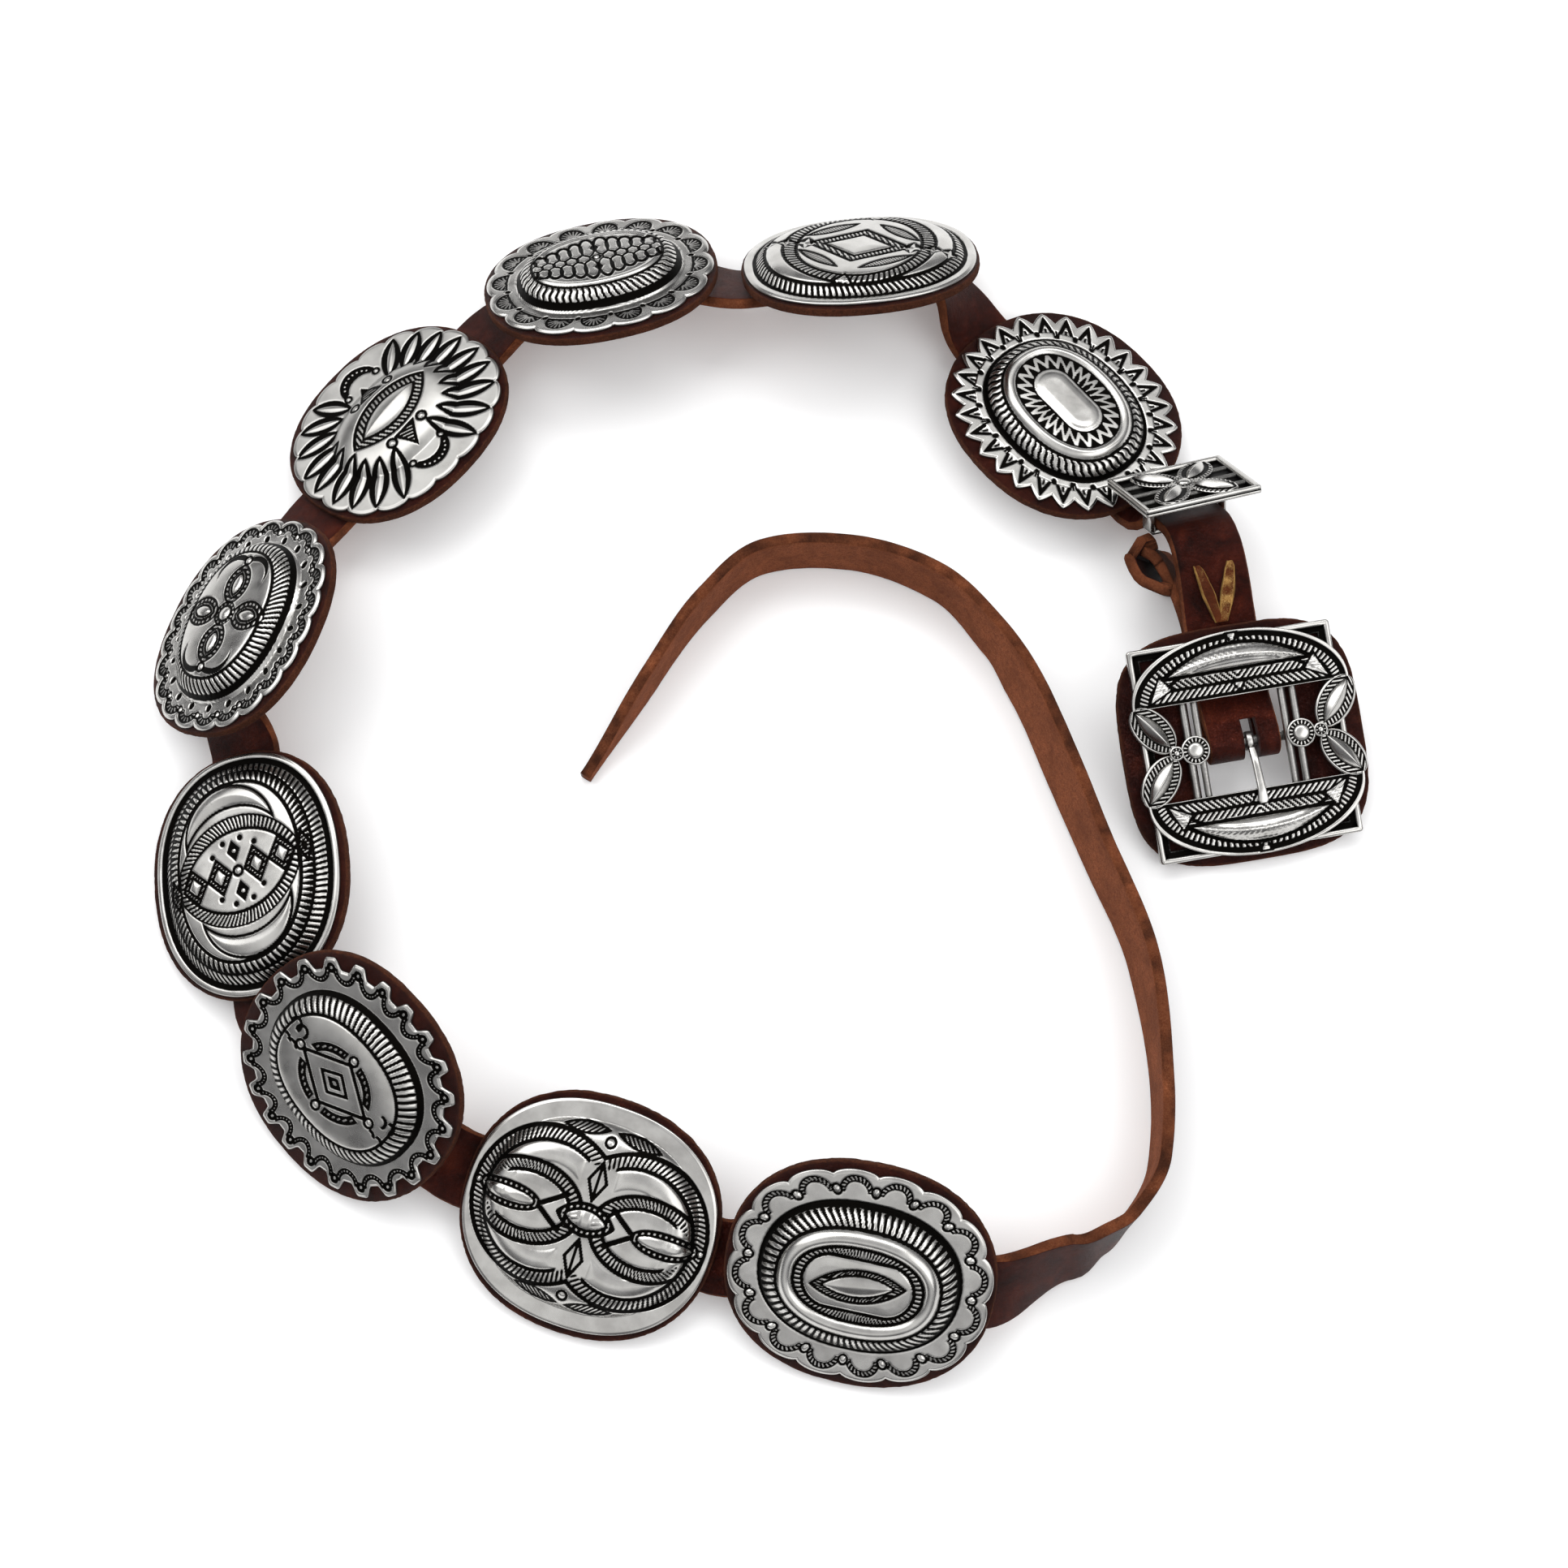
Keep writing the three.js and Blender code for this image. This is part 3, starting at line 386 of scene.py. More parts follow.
def corners(x, y, points):
    """A convex polygon from its corners, either way round."""
    points = np.asarray(points, float)
    middle = points.mean(axis=0)
    far = np.full(np.shape(x), -1e9)
    for (ax, ay), (bx, by) in zip(points, np.roll(points, -1, axis=0)):
        nx, ny = by - ay, ax - bx
        size = np.hypot(nx, ny)
        if (middle[0] - ax) * nx + (middle[1] - ay) * ny > 0:
            nx, ny = -nx, -ny
        far = np.maximum(far, ((x - ax) * nx + (y - ay) * ny) / size)
    return far


def diamond(x, y, cx, cy, half_x, half_y):
    share = np.abs(x - cx) / half_x + np.abs(y - cy) / half_y - 1
    return share * half_x * half_y / np.hypot(half_x, half_y)


def stroke(x, y, ax, ay, bx, by, width):
    share = np.clip(((x - ax) * (bx - ax) + (y - ay) * (by - ay))
                    / ((bx - ax) ** 2 + (by - ay) ** 2), 0, 1)
    return np.hypot(x - ax - share * (bx - ax), y - ay - share * (by - ay)) - width / 2


# %% A sheet of silver that is stamped
def inside(far):
    """1 inside an outline, 0 outside it and a slope between."""
    return np.clip(0.5 - far / SOFT, 0, 1)


def bars(far, phase, pitch, cut):
    """1 on the strokes inside an outline: phase counts the strokes, pitch is their width."""
    part = np.abs(phase - np.round(phase))
    return inside(far) * inside((part - cut / 2) * pitch)


class Sheet:
    """Points of a silver sheet with their height and how black they are."""

    def __init__(self, x, y):
        self.x, self.y = x, y
        self.z = np.zeros_like(x)
        self.dark = np.zeros_like(x)

    def lower(self, share, depth, black=1.0):
        self.z -= depth * share
        self.dark = np.maximum(self.dark, share * black)

    def press(self, far, depth=0.32, black=1.0):
        """Lowers and blackens what lies inside the outline."""
        self.lower(inside(far - BOLD), depth, black)

    def line(self, far, width=0.8, depth=0.32):
        self.press(np.abs(far) - width / 2, depth)

    def polish(self, far, rise=0.0, shoulder=1.2):
        """Brightens what lies inside the outline and can raise it with rounded shoulders."""
        self.dark *= 1 - inside(far)
        if rise:
            self.z += rise * np.sqrt(np.clip(-far / shoulder, 0, 1))

    def bead(self, cx, cy, radius, ring=0.7):
        """A round bead in a black ring."""
        far = disc(self.x, self.y, cx, cy, radius)
        self.press(far - ring)
        self.polish(far, 0.65, radius)

    def gleam(self, far, phase, pitch, keep=0.5):
        """Bright strokes left standing in the black inside an outline."""
        self.dark *= 1 - bars(far, phase, pitch, keep)

    def pearls(self, across, phase, pitch, radius, where=-9.0):
        """A row of small bright beads: across is how far off the row a point lies."""
        gap = (phase - np.round(phase)) * pitch
        self.polish(within(np.hypot(gap, across) - radius, where), 0.25, radius)

    def strokes(self, far, phase, pitch, cut=0.5, depth=0.3, black=1.0):
        """Black strokes inside the outline."""
        self.lower(bars(far, phase, pitch, cut), depth, black)


# %% [markdown]
# ## A concho
# Each concho is one sheet of silver, dished from behind and stamped from the front. A square grid
# of points is pulled into a disc and then into the oval, so the mesh is even everywhere, with no
# thin slices at the middle. Two rulers then help to place the bands: how far a point lies in from
# the edge, and how far round the oval it lies.

# %% The conchos' places and outlines
SQUARENESS = 2.25
HALF_LENGTH, HALF_WIDTH, SHEET = 41.5, 35.5, 1.2
GRID = 184  # points along each side of a concho's mesh
conchos = [
    # origin in mm, (heading, tilt, climb) in degrees, length and width as shares of the usual
    # ones, (lobes, bite, kind) of the edge, foot of the dome, its height, how grey it is
    ((110.116, 129.044, 11.941), (130, 10, -3), 1.01, 1.05, (28, 0.1, "pointed"), 0.68, 6, 0),
    ((36.899, 181.849, 25.541), (186, 37, 0), 1, 0.995, (0, 0, "plain"), 0.88, 5, 0),
    ((-56.650, 177.765, 21.902), (193, 30, 0), 0.99, 0.995, (16, 0.07, "round"), 0.68, 7, 0),
    ((-128.424, 124.071, 15.319), (231, 19, 0), 0.99, 0.975, (20, 0.06, "round"), 0.55, 3.5, 0.42),
    ((-177.590, 43.210, 24.030), (250, 34, 0), 0.98, 0.995, (22, 0.06, "round"), 0.72, 7, 0),
    ((-171.220, -43.560, 16.030), (278, 20, -2), 1, 0.975, (0, 0, "plain"), 0.88, 5.5, 0.12),
    ((-132.830, -114.560, 24.250), (312, 34, -3), 0.99, 1, (22, 0.1, "wavy"), 0.7, 7, 0.22),
    ((-53.560, -158.500, 15.490), (341, 18, 0), 1, 1.045, (0, 0, "plain"), 0.84, 6.5, 0),
    ((33.850, -178.360, 22.080), (348, 30, 0), 1.025, 1.005, (16, 0.06, "round"), 0.7, 7.5, 0),
]
print("conchos:", len(conchos), "points a side:", GRID)


def oval_reach(angle):
    """How far a squarish unit oval reaches in a direction."""
    both = np.abs(np.cos(angle)) ** SQUARENESS + np.abs(np.sin(angle)) ** SQUARENESS
    return both ** (-1 / SQUARENESS)


def lobe_bite(kind, part):
    """How deep the edge is bitten, from 0 at a lobe's tip to 1 between two lobes."""
    if kind == "pointed":
        return np.abs(2 * part - 1) ** 1.25
    if kind == "wavy":
        return smooth(0.5 + 0.5 * np.cos(2 * np.pi * part), 0.12, 0.88)
    return 1 - np.sqrt(np.clip(1 - 0.96 * (2 * part - 1) ** 2, 0, 1))


# %% A concho's sheet and its two rulers
class Concho(Sheet):
    """A concho's sheet: x along, y across, inset from the edge and share of the way round."""

    def __init__(self, row):
        _, _, long, wide, lobes, foot, dome, _ = row
        self.a, self.b = HALF_LENGTH * long, HALF_WIDTH * wide
        self.lobes, bite, kind = lobes
        across, up = round_grid(GRID)
        radius, angle = np.hypot(across, up), np.arctan2(up, across)
        ring = np.linspace(-np.pi, np.pi, 2881)
        rim_x = np.cos(ring) * oval_reach(ring) * (self.a - 6)
        rim_y = np.sin(ring) * oval_reach(ring) * (self.b - 6)
        walked = np.concatenate([[0], np.cumsum(np.hypot(np.diff(rim_x), np.diff(rim_y)))])
        self.length_round = walked[-1] * self.a / (self.a - 6)
        self.round = np.interp(angle, ring, walked / walked[-1])
        self.part = (self.round * self.lobes) % 1 if self.lobes else np.full_like(angle, 0.5)
        bitten = bite * lobe_bite(kind, self.part) if self.lobes else 0
        reach = radius * oval_reach(angle) * (1 - bitten * smooth(radius, 0.72, 1))
        super().__init__(reach * np.cos(angle) * self.a, reach * np.sin(angle) * self.b)
        self.radius = radius
        low, high = np.full_like(self.x, -2.0), np.full_like(self.x, self.b)
        for _ in range(26):
            middle = (low + high) / 2
            outside = (np.abs(self.x) / (self.a - 0.93 * middle)) ** SQUARENESS + (
                np.abs(self.y) / np.maximum(self.b - middle, 0.01)) ** SQUARENESS > 1
            high = np.where(outside, middle, high)
            low = np.where(outside, low, middle)
        self.inset = (low + high) / 2
        sharp = np.log(0.4) / np.log(1 - 0.1 / foot)
        climb = np.clip((foot - (1 - self.inset / self.b)) / foot, 0, 1)
        self.z += SHEET + dome * (1 - (1 - climb) ** sharp)

    def band(self, low, high):
        return within(low - self.inset, self.inset - high)

    def groove(self, low, high):
        self.press(self.band(low, high), 0.45)

    def band_strokes(self, low, high, count, lean=0.0, cut=0.5, curl=0.0):
        """Strokes in a band: lean slants them and curl bends them into an S like a rope's."""
        up = (self.inset - low) / (high - low)
        phase = self.round * count + lean * up + curl * np.sin(2 * np.pi * up)
        self.strokes(self.band(low, high), phase, self.length_round / count, cut, 0.32)

    def band_teeth(self, low, high, count, lean=0.0, cut=0.8):
        """Black teeth, wide at the outside of the band and narrow at the inside."""
        up = np.clip((self.inset - low) / (high - low), 0, 1)
        self.lower(bars(self.band(low, high), self.round * count + lean * up,
                        self.length_round / count, cut * (1 - 0.75 * up)), 0.3)

    def rope(self, low, high, count, lean, cut, rise, shoulder):
        """A raised band of S strokes on a black ground."""
        self.polish(self.band(low, high), rise, shoulder)
        self.band_strokes(low, high, count, lean, cut, 0.16)

    def lobe_place(self):
        """A point's place in its own lobe: along the edge from the lobe's middle, and inset."""
        size = self.length_round / self.lobes
        return (self.part - 0.5) * size, self.inset, size

    def swell(self, low, high, rise):
        """A round ridge between two insets."""
        share = np.clip((self.inset - low) / (high - low), 0, 1)
        self.z += rise * np.sin(np.pi * share) ** 0.8


# %% [markdown]
# ### Nine designs
# No two conchos match, as on many old belts. Each design is a short list of stamps from the edge
# inwards. The insets and counts were read off each concho with a ruler in millimetres.

# %% Concho 1: arrow points, rope and sunburst
def arrow_points(c):
    s, d, size = c.lobe_place()
    wide = np.clip((d - 1.5) / 6.9, 0, 1) * 3.35
    c.press(within(np.abs(s) - wide, 1.6 - d, d - 8.4), 0.35)
    c.polish(within(np.abs(s) - wide + 1.5, 4.4 - d, d - 9))
    c.press(within(np.abs(s) - 0.3, np.abs(d - 7.4) - 0.9))
    valley = c.round * 28
    off = (valley - np.round(valley)) * size
    even = np.round(valley) % 2 == 0
    c.press(np.where(even, np.hypot(off, d - 9.2) - 1.1, 9.0))
    for order in (-1, 0, 1):
        tick = np.abs(off - order * (0.7 + 0.22 * (10.8 - d))) - 0.25
        c.press(np.where(even, 9.0, within(tick, np.abs(d - 9.2) - 1.5)))
    c.groove(11.4, 12.7)
    c.press(c.band(12.6, 17.8), 0.1, 1.0)
    c.rope(12.9, 17.0, 60, 0.9, 0.38, 0.35, 1.6)
    c.swell(17.8, 22.2, 1.3)
    c.polish(c.band(17.9, 22.0))
    burst = within(22.2 - c.inset, -stadium(c.x, c.y, 14.8, 7.2))
    c.press(burst, 0.2, 0.95)
    zig = np.abs((c.round * 26) % 1 - 0.5) * 2
    ring = np.clip((c.inset - 23.0) / 5.0, 0, 1)
    c.polish(within((np.abs(zig - ring) - 0.32) * 1.7, burst + 0.5))
    c.polish(stadium(c.x, c.y, 13.3, 6.0), 0.6, 2.5)


# %% Concho 2: smooth rim, ring and stars
def ring_and_stars(c):
    c.groove(3.3, 4.4)
    c.band_strokes(4.5, 7.5, 96, 0.8, 0.46)
    c.groove(7.5, 8.5)
    px, py = turned(c.x, c.y, 0, 0, -19)
    outer = ellipse(px, py, 0, 0, 27.5, 27.5)
    inner = ellipse(px, py, 0, 0, 22.6, 23.4)
    ring = within(outer, -inner)
    c.line(outer, 1.0)
    c.strokes(ring, np.arctan2(py, px) / (2 * np.pi) * 80 + (outer / 4.6) * 0.8, 1.9, 0.42)
    c.line(inner, 1.0)
    for up in (-1, 1):
        gap = within(corners(px, py, [(-4, up * 28), (4, up * 28), (0, up * 22.6)]), outer)
        c.polish(gap)
        c.line(gap, 0.6)
        for across in (-1, 1):
            bow = lens(px, py, across * 12.4, up * 12.0, 20, 4.4, -across * up * 36)
            c.line(bow, 0.7, 0.25)
            c.strokes(bow, (px * across - py * up) / 1.5, 1.5, 0.34, 0.2, 0.9)
    wide, narrow = diamond(px, py, 0, 0, 19.0, 13.0), diamond(px, py, 0, 0, 12.8, 8.8)
    c.polish(wide)
    c.strokes(within(wide, -narrow), (px + py * 0.6) / 1.75, 1.75, 0.42)
    c.line(wide, 1.0)
    c.line(narrow, 0.9)
    c.polish(narrow + 0.7, 0.4, 4)
    for place, half in ((19.4, 4.4), (26.9, 3.5), (33.0, 3.0)):
        for across in (-1, 1):
            c.press(diamond(px, py, across * place, 0, half, half), 0.3)
            for degrees in (0, 90):
                c.polish(lens(px, py, across * place, 0, half * 2, half * 0.42, degrees))


# %% Concho 3: scallops, rope and linked arches
def scallop_fans(c, centre, radius, rays):
    """A fan of rays in every scallop, with a dark hole where two scallops meet."""
    s, d, size = c.lobe_place()
    fan = np.hypot(s, d - centre)
    hollow = within(fan - radius, d - centre)
    c.press(hollow, 0.25)
    turn = np.arctan2(centre - d, s) / np.pi * rays
    c.polish(within(hollow + 0.7, 1.2 - fan,
                    np.abs(turn % 1 - 0.5) * fan * np.pi / rays - 0.34))
    c.press(np.hypot(np.abs(s) - size / 2, d - centre) - 1.0, 0.45)


def linked_arches(c):
    scallop_fans(c, 8.0, 5.9, 9)
    c.groove(12.0, 13.2)
    c.press(c.band(13.2, 18.6), 0.15, 1.0)
    c.rope(13.6, 18.0, 60, 0.95, 0.36, 0.3, 1.5)
    c.swell(18.6, 21, 0.5)
    field = 18.8 - c.inset
    for side in (-1, 1):
        for k in range(6):
            px, top = side * (2.6 + 4.3 * k), 13.4 - 1.5 * k
            for up in (-1, 1):
                arch = ellipse(c.x, c.y, px, up * (top / 2 + 0.6), 2.6, top / 2 - 0.6)
                c.line(within(arch, field), 0.45, 0.22)
                under = ellipse(c.x, c.y, px, up * (top / 2 - 0.6), 2.3, top / 2 - 0.6)
                c.press(within(arch, -under, field))
            if k < 5:
                link = ellipse(c.x, c.y, px + side * 2.15, 0, 2.4, 2.6 - 0.2 * k)
                c.line(within(link, field), 0.4, 0.22)
    for up in (-1, 1):
        for stamp, half in ((c.press, (1.5, 2.6)), (c.polish, (0.6, 1.3))):
            stamp(diamond(c.x, c.y, 0, up * 6.4, *half))
    c.bead(0, 0, 1.0, 0.6)


# %% Concho 4: a ring of petals round an eye
def petal_ring(c):
    left = [(106, -5, 12.5), (122.5, -11, 12), (139.7, -16, 10), (155.4, -18.5, 6),
            (170, -21, 0.5), (186.7, -21, -4.5), (201.7, -20, -9.5), (216.6, -17, -13.5),
            (231.7, -11.5, -15.5)]
    right = [(55, 10, 11), (38.7, 16, 9), (24, 19.5, 5), (10, 20, 0), (-7, 20, -6),
             (-20.7, 19, -10.5), (-37.6, 15.5, -15.5), (-54, 10.5, -18), (-70, 5.5, -18.5)]
    for degrees, tip_x, tip_y in left + right:
        turn = np.radians(degrees)
        far_x = np.cos(turn) * oval_reach(turn) * (c.a - 1.6)
        far_y = np.sin(turn) * oval_reach(turn) * (c.b - 1.6)
        length = np.hypot(far_x - tip_x, far_y - tip_y)
        way = np.degrees(np.arctan2(far_y - tip_y, far_x - tip_x))
        cx, cy = (far_x + tip_x) / 2, (far_y + tip_y) / 2
        c.press(lens(c.x, c.y, cx, cy, length, 7.0, way), 0.35)
        c.polish(lens(c.x, c.y, cx, cy, length * 0.86, 3.0, way), 0.6, 1.5)
    for cx, cy, up in ((3.5, 20.5, 1), (-4, -23, -1)):
        outer = disc(c.x, c.y, cx, cy, 8)
        moon = within(outer, -disc(c.x, c.y, cx, cy - up * 3.6, 7.4))
        c.press(within(moon, (cy + up - c.y) * up), 0.28)
        turn = np.arctan2(c.y - cy, c.x - cx)
        c.pearls(outer + 1.6, turn * 6.4 / 1.9, 1.9, 0.5, (cy + up * 2.5 - c.y) * up)
        for across in (-1, 1):
            c.bead(cx + across * 7.4, cy - up * 0.6, 0.9, 0.6)
    for triangle in ([(4, 17), (-2.5, 8.6), (7.4, 8.4)], [(-2.5, -21.5), (-6.8, -13), (3.4, -14)]):
        far = corners(c.x, c.y, triangle)
        c.press(far, 0.28)
        c.gleam(far + 0.8, (c.y + c.x * 0.5) / 1.5, 1.5, 0.42)
    for cx, cy in ((-4.9, 10.4), (9.6, 9.4), (-10, -13.4), (5.6, -15.4)):
        c.bead(cx, cy, 1.3, 0.8)
    px, py = turned(c.x, c.y, 0, -2, 3)
    eye = lens(px, py, 0, 0, 39, 18.5)
    c.press(eye, 0.35)
    c.gleam(within(eye + 0.9, -(eye + 3.4)), (px + np.abs(py) * 0.35) / 1.8, 1.8, 0.55)
    c.polish(eye + 4.3, 1.9, 4.6)


# %% Concho 5: holes, a toothed band and a flower
def holes_and_flower(c):
    s, d, size = c.lobe_place()
    arch = np.hypot(s / 1.1, d - 6.3)
    c.press(within(np.abs(arch - 3.5) - 1.4, d - 6.0), 0.3)
    turn = np.arctan2(6.3 - d, s) / np.pi * 7
    c.polish(within(np.abs(arch - 3.4) - 0.9, d - 5.8,
                    np.abs(turn % 1 - 0.5) * arch * np.pi / 7 - 0.32))
    bead = np.hypot(np.abs(s) - size / 2, d - 5.4) - 0.9
    c.press(bead - 0.5)
    c.polish(bead, 0.5, 0.9)
    c.press(np.hypot(s, d - 8.4) - 1.3, 0.7)
    c.groove(10.9, 12.1)
    c.band_strokes(12.1, 17.0, 76, 1.15, 0.42)
    c.groove(17.0, 17.8)
    flower_on(c, 4.0, 18.6, 5.6)
    for side in (-1, 1):
        c.bead(side * 20.6, 0, 1.2)
        for up in (-1, 1):
            moon = within(disc(c.x, c.y, side * 15.2, up * 4.4, 7.4),
                          -disc(c.x, c.y, side * 13.6, up * 4.4, 7.2), 1.4 - up * c.y)
            c.press(moon, 0.25)


def flower_on(c, near, far, half):
    """Four beaded petals with an eye in each, round a ringed button."""
    for degrees in (0, 90, 180, 270):
        px, py = turned(c.x, c.y, 0, 0, degrees)
        petal = lens(px, py, (near + far) / 2, 0, far - near + 1, half * 2)
        c.press(within(petal, -(petal + 2.4)), 0.3)
        c.pearls(petal + 1.2, px / 1.8, 1.8, 0.55)
        eye = lens(px, py, (near + far) / 2, 0, (far - near) * 0.56, half * 0.8)
        c.line(eye, 0.8)
        c.polish(eye + 0.3, 0.5, 1.4)
    c.press(disc(c.x, c.y, 0, 0, 4.5))
    turn = np.arctan2(c.y, c.x) / (2 * np.pi) * 14
    c.gleam(disc(c.x, c.y, 0, 0, 4.2), turn, 1.7, 0.5)
    c.press(np.abs(disc(c.x, c.y, 0, 0, 2.9)) - 0.35, 0.1)
    c.polish(disc(c.x, c.y, 0, 0, 2.4), 0.7, 2)


# %% Concho 6: a tall eye between bright crescents
def tall_eye(c):
    c.groove(2.0, 3.8)
    c.band_strokes(4.0, 7.0, 104, 0.8, 0.42)
    c.line(c.inset - 7.2, 0.5)
    c.band_teeth(7.6, 10.9, 90, 0.5, 0.8)
    c.groove(10.9, 11.8)
    px, py = turned(c.x, c.y, 0, 0, 9)
    eye = lens(px, py, 0, 0, 49, 38, 90)
    inner = lens(px, py, 0, 0, 43, 28, 90)
    band = within(eye, -inner, 11.8 - c.inset)
    c.press(band, 0.2)
    c.polish(band + 0.4)
    turn = np.arctan2(py, px) / (2 * np.pi)
    c.strokes(band + 0.2, turn * 76 + inner / 5 * np.sign(px), 1.9, 0.42)
    c.line(inner, 0.7)
    for side in (-1, 1):
        moon = within(disc(px, py, side * 13, 0, 17), -disc(px, py, side * 1.5, 0, 21),
                      12.2 - c.inset)
        c.line(moon, 0.7)
        c.polish(moon + 0.4, 0.9, 3)
        c.press(diamond(px, py, side * 7.2, 0, 3.6, 2.4))
        c.bead(side * 7.2 * np.cos(np.radians(9)), side * 7.2 * np.sin(np.radians(9)), 0.8, 0.4)
        for up in (-1, 1):
            for cx, cy in ((10.8, 3.4), (7.6, 8.2)):
                c.press(disc(px, py, side * cx, up * cy, 0.85))
    for up in (-1, 1):
        for place, half_x, half_y in ((25.2, 5.4, 2.4), (17, 6.3, 5), (7.2, 6.4, 4.8)):
            far = diamond(px, py, 0, up * place, half_x, half_y)
            c.polish(far)
            c.strokes(within(far, -(far + 1.5)), (px + py * 0.4) / 1.2, 1.2, 0.5)
            for inner_line in (0.1, 1.7):
                c.line(far + inner_line, 0.6)
            c.polish(far + 2.2, 0.35, 1.2)
    c.bead(0, 0, 1.2, 0.8)


# %% Concho 7: beaded curls round a double diamond
def curls_and_diamond(c):
    s, d, size = c.lobe_place()
    curl = np.hypot(np.abs(s) - size / 2, d - 3.4)
    turn = np.arctan2(d - 3.4, np.abs(s) - size / 2)
    c.press(within(np.abs(curl - 3.9) - 0.85, 3.2 - d), 0.25)
    c.pearls(curl - 3.9, turn * 3.9 / 1.25, 1.25, 0.36, 3.6 - d)
    rose = np.hypot(s, d - 3.2) - 1.3
    c.press(rose - 0.3)
    c.polish(rose + 0.7, 0.3, 0.8)
    c.groove(10.9, 12.1)
    c.band_strokes(12.2, 17.3, 70, 0.35, 0.4)
    c.groove(17.3, 18.0)
    for half_x, half_y, width in ((15.5, 9.2, 0.9), (6.2, 4.2, 0.8)):
        c.line(diamond(c.x, c.y, 0, 0, half_x, half_y), width)
    c.press(diamond(c.x, c.y, 0, 0, 3.2, 2.0))
    c.polish(diamond(c.x, c.y, 0, 0, 1.4, 0.8))
    arc = ellipse(c.x, c.y, 0, 0, 13.6, 10.4)
    away = within(3.0 - np.abs(c.x), 3.2 - np.abs(c.y))
    c.press(within(np.abs(arc) - 1.35, away))
    c.pearls(arc, c.x / 1.8, 1.8, 0.55, away + 0.6)
    for side in (-1, 1):
        c.bead(0, side * 11, 1.2, 0.7)
        c.bead(side * 17.2, 0, 1.2, 0.7)
        for up in (-1, 1):
            for far in (0, 3.2):
                curve = disc(c.x, c.y, side * (19.6 + far), up * 3.4, 2.2)
                c.press(within(np.abs(curve) - 0.4, side * (19.6 + far - c.x) - 0.6,
                               up * (2.4 - up * c.y)), 0.22)


# %% Concho 8: two ellipses like wings and beaded eyes
def beaded_eye(c, eye, ball, shoulder, row):
    """A black eye with a bright ball in it and a row of beads round the ball."""
    c.press(eye, 0.3)
    c.polish(eye + ball, 0.7, shoulder)
    c.pearls(eye + row, c.x / 1.9, 1.9, 0.5)


def wings_and_eyes(c):
    for side in (-1, 1):
        wing = ellipse(c.x, c.y, side * 14.5, 0, 25.5, 26.3)
        turn = np.arctan2(c.y, c.x - side * 14.5)
        half = within(wing, -side * c.x)
        for low, high in ((0, 1.1), (4.6, 5.5)):
            c.press(within(half + low, -(wing + high)))
        phase = turn / (2 * np.pi) * 90 + wing / 4
        c.strokes(within(half + 1.1, -(wing + 4.6)), phase, 1.8, 0.42)
        c.polish(within(half + 5.7, -(wing + 11.8)), 0.6, 2.5)
        inner = ellipse(c.x, c.y, side * 20, 0, 18.6, 14)
        turn = np.arctan2(c.y, c.x - side * 20)
        cut = within(inner, -side * c.x + 1, wing + 5.6)
        for low, high in ((0, 1), (4.1, 5)):
            c.press(within(cut + low, -(inner + high)))
        phase = turn / (2 * np.pi) * 60 - inner / 4
        c.strokes(within(cut + 1, -(inner + 4.1)), phase, 1.7, 0.42)
        c.polish(cut + 5.2, 0.4, 3)
        beaded_eye(c, ellipse(c.x, c.y, side * 26.6, 0, 11, 4.4), 2.3, 2, 1.15)
        c.bead(side * 38.2, 0, 0.9, 0.5)
        for up in (-1, 1):
            c.line(stroke(c.x, c.y, side * 8, up * 6, side * 15, up * 1, 0.2), 1.2)
            bow = lens(c.x, c.y, side * 9, up * 28.2, 16, 3.8, -side * up * 8)
            c.press(bow, 0.25)
            c.gleam(bow + 0.5, (c.x * side + c.y * up) / 1.5, 1.5, 0.5)
        kite = diamond(c.x, c.y, 0, side * 13, 3.4, 7.2)
        c.press(kite, 0.3)
        c.polish(within(kite + 0.8, 0.35 - np.abs(c.x)), 0.3, 1.5)
        c.bead(0, side * 26, 1.2, 0.7)
    beaded_eye(c, lens(c.x, c.y, 0, 0, 20, 11), 2.6, 2.2, 1.35)


# %% Concho 9: rope arches, ridge and ribs
def rope_arches(c):
    s, d, size = c.lobe_place()
    arch = np.hypot(s, d - 8.6)
    rope = within(np.abs(arch - 5.9) - 1.0, d - 7.2)
    c.press(rope, 0.3)
    turn = np.arctan2(8.6 - d, s) / np.pi * 13 + (arch - 5.9) * 0.35
    c.polish(within(rope + 0.3, np.abs(turn % 1 - 0.5) * 1.42 - 0.36))
    bead = np.hypot(np.abs(s) - size / 2, d - 6.6) - 1.35
    c.press(bead - 0.6)
    c.polish(bead, 0.6, 1.3)
    c.groove(10.4, 11.8)
    c.band_strokes(12.0, 16.8, 72, 0.55, 0.4)
    c.band_teeth(12.0, 14.2, 72, 0.2, 0.7)
    c.groove(16.8, 17.6)
    c.swell(17.6, 22.8, 1.6)
    c.polish(c.band(17.8, 22.6))
    c.groove(22.8, 23.5)
    hole = stadium(c.x, c.y, 18, 9)
    c.strokes(within(23.5 - c.inset, -hole), c.round * 76, 1.5, 0.42, 0.25)
    c.line(hole, 0.8)
    c.polish(hole + 0.6, 0.4, 3)
    eye = lens(c.x, c.y, 0, 0, 31, 11.6, 8)
    c.press(eye, 0.25)
    c.polish(within(eye + 0.6, -(eye + 1.9)))
    turn = np.arctan2(c.y * 2.2, c.x)
    c.strokes(within(eye + 0.5, -(eye + 2.0)), turn / (2 * np.pi) * 60, 1.2, 0.5)
    c.polish(eye + 2.5, 1.0, 3)


designs = [arrow_points, ring_and_stars, linked_arches, petal_ring, holes_and_flower,
           tall_eye, curls_and_diamond, wings_and_eyes, rope_arches]


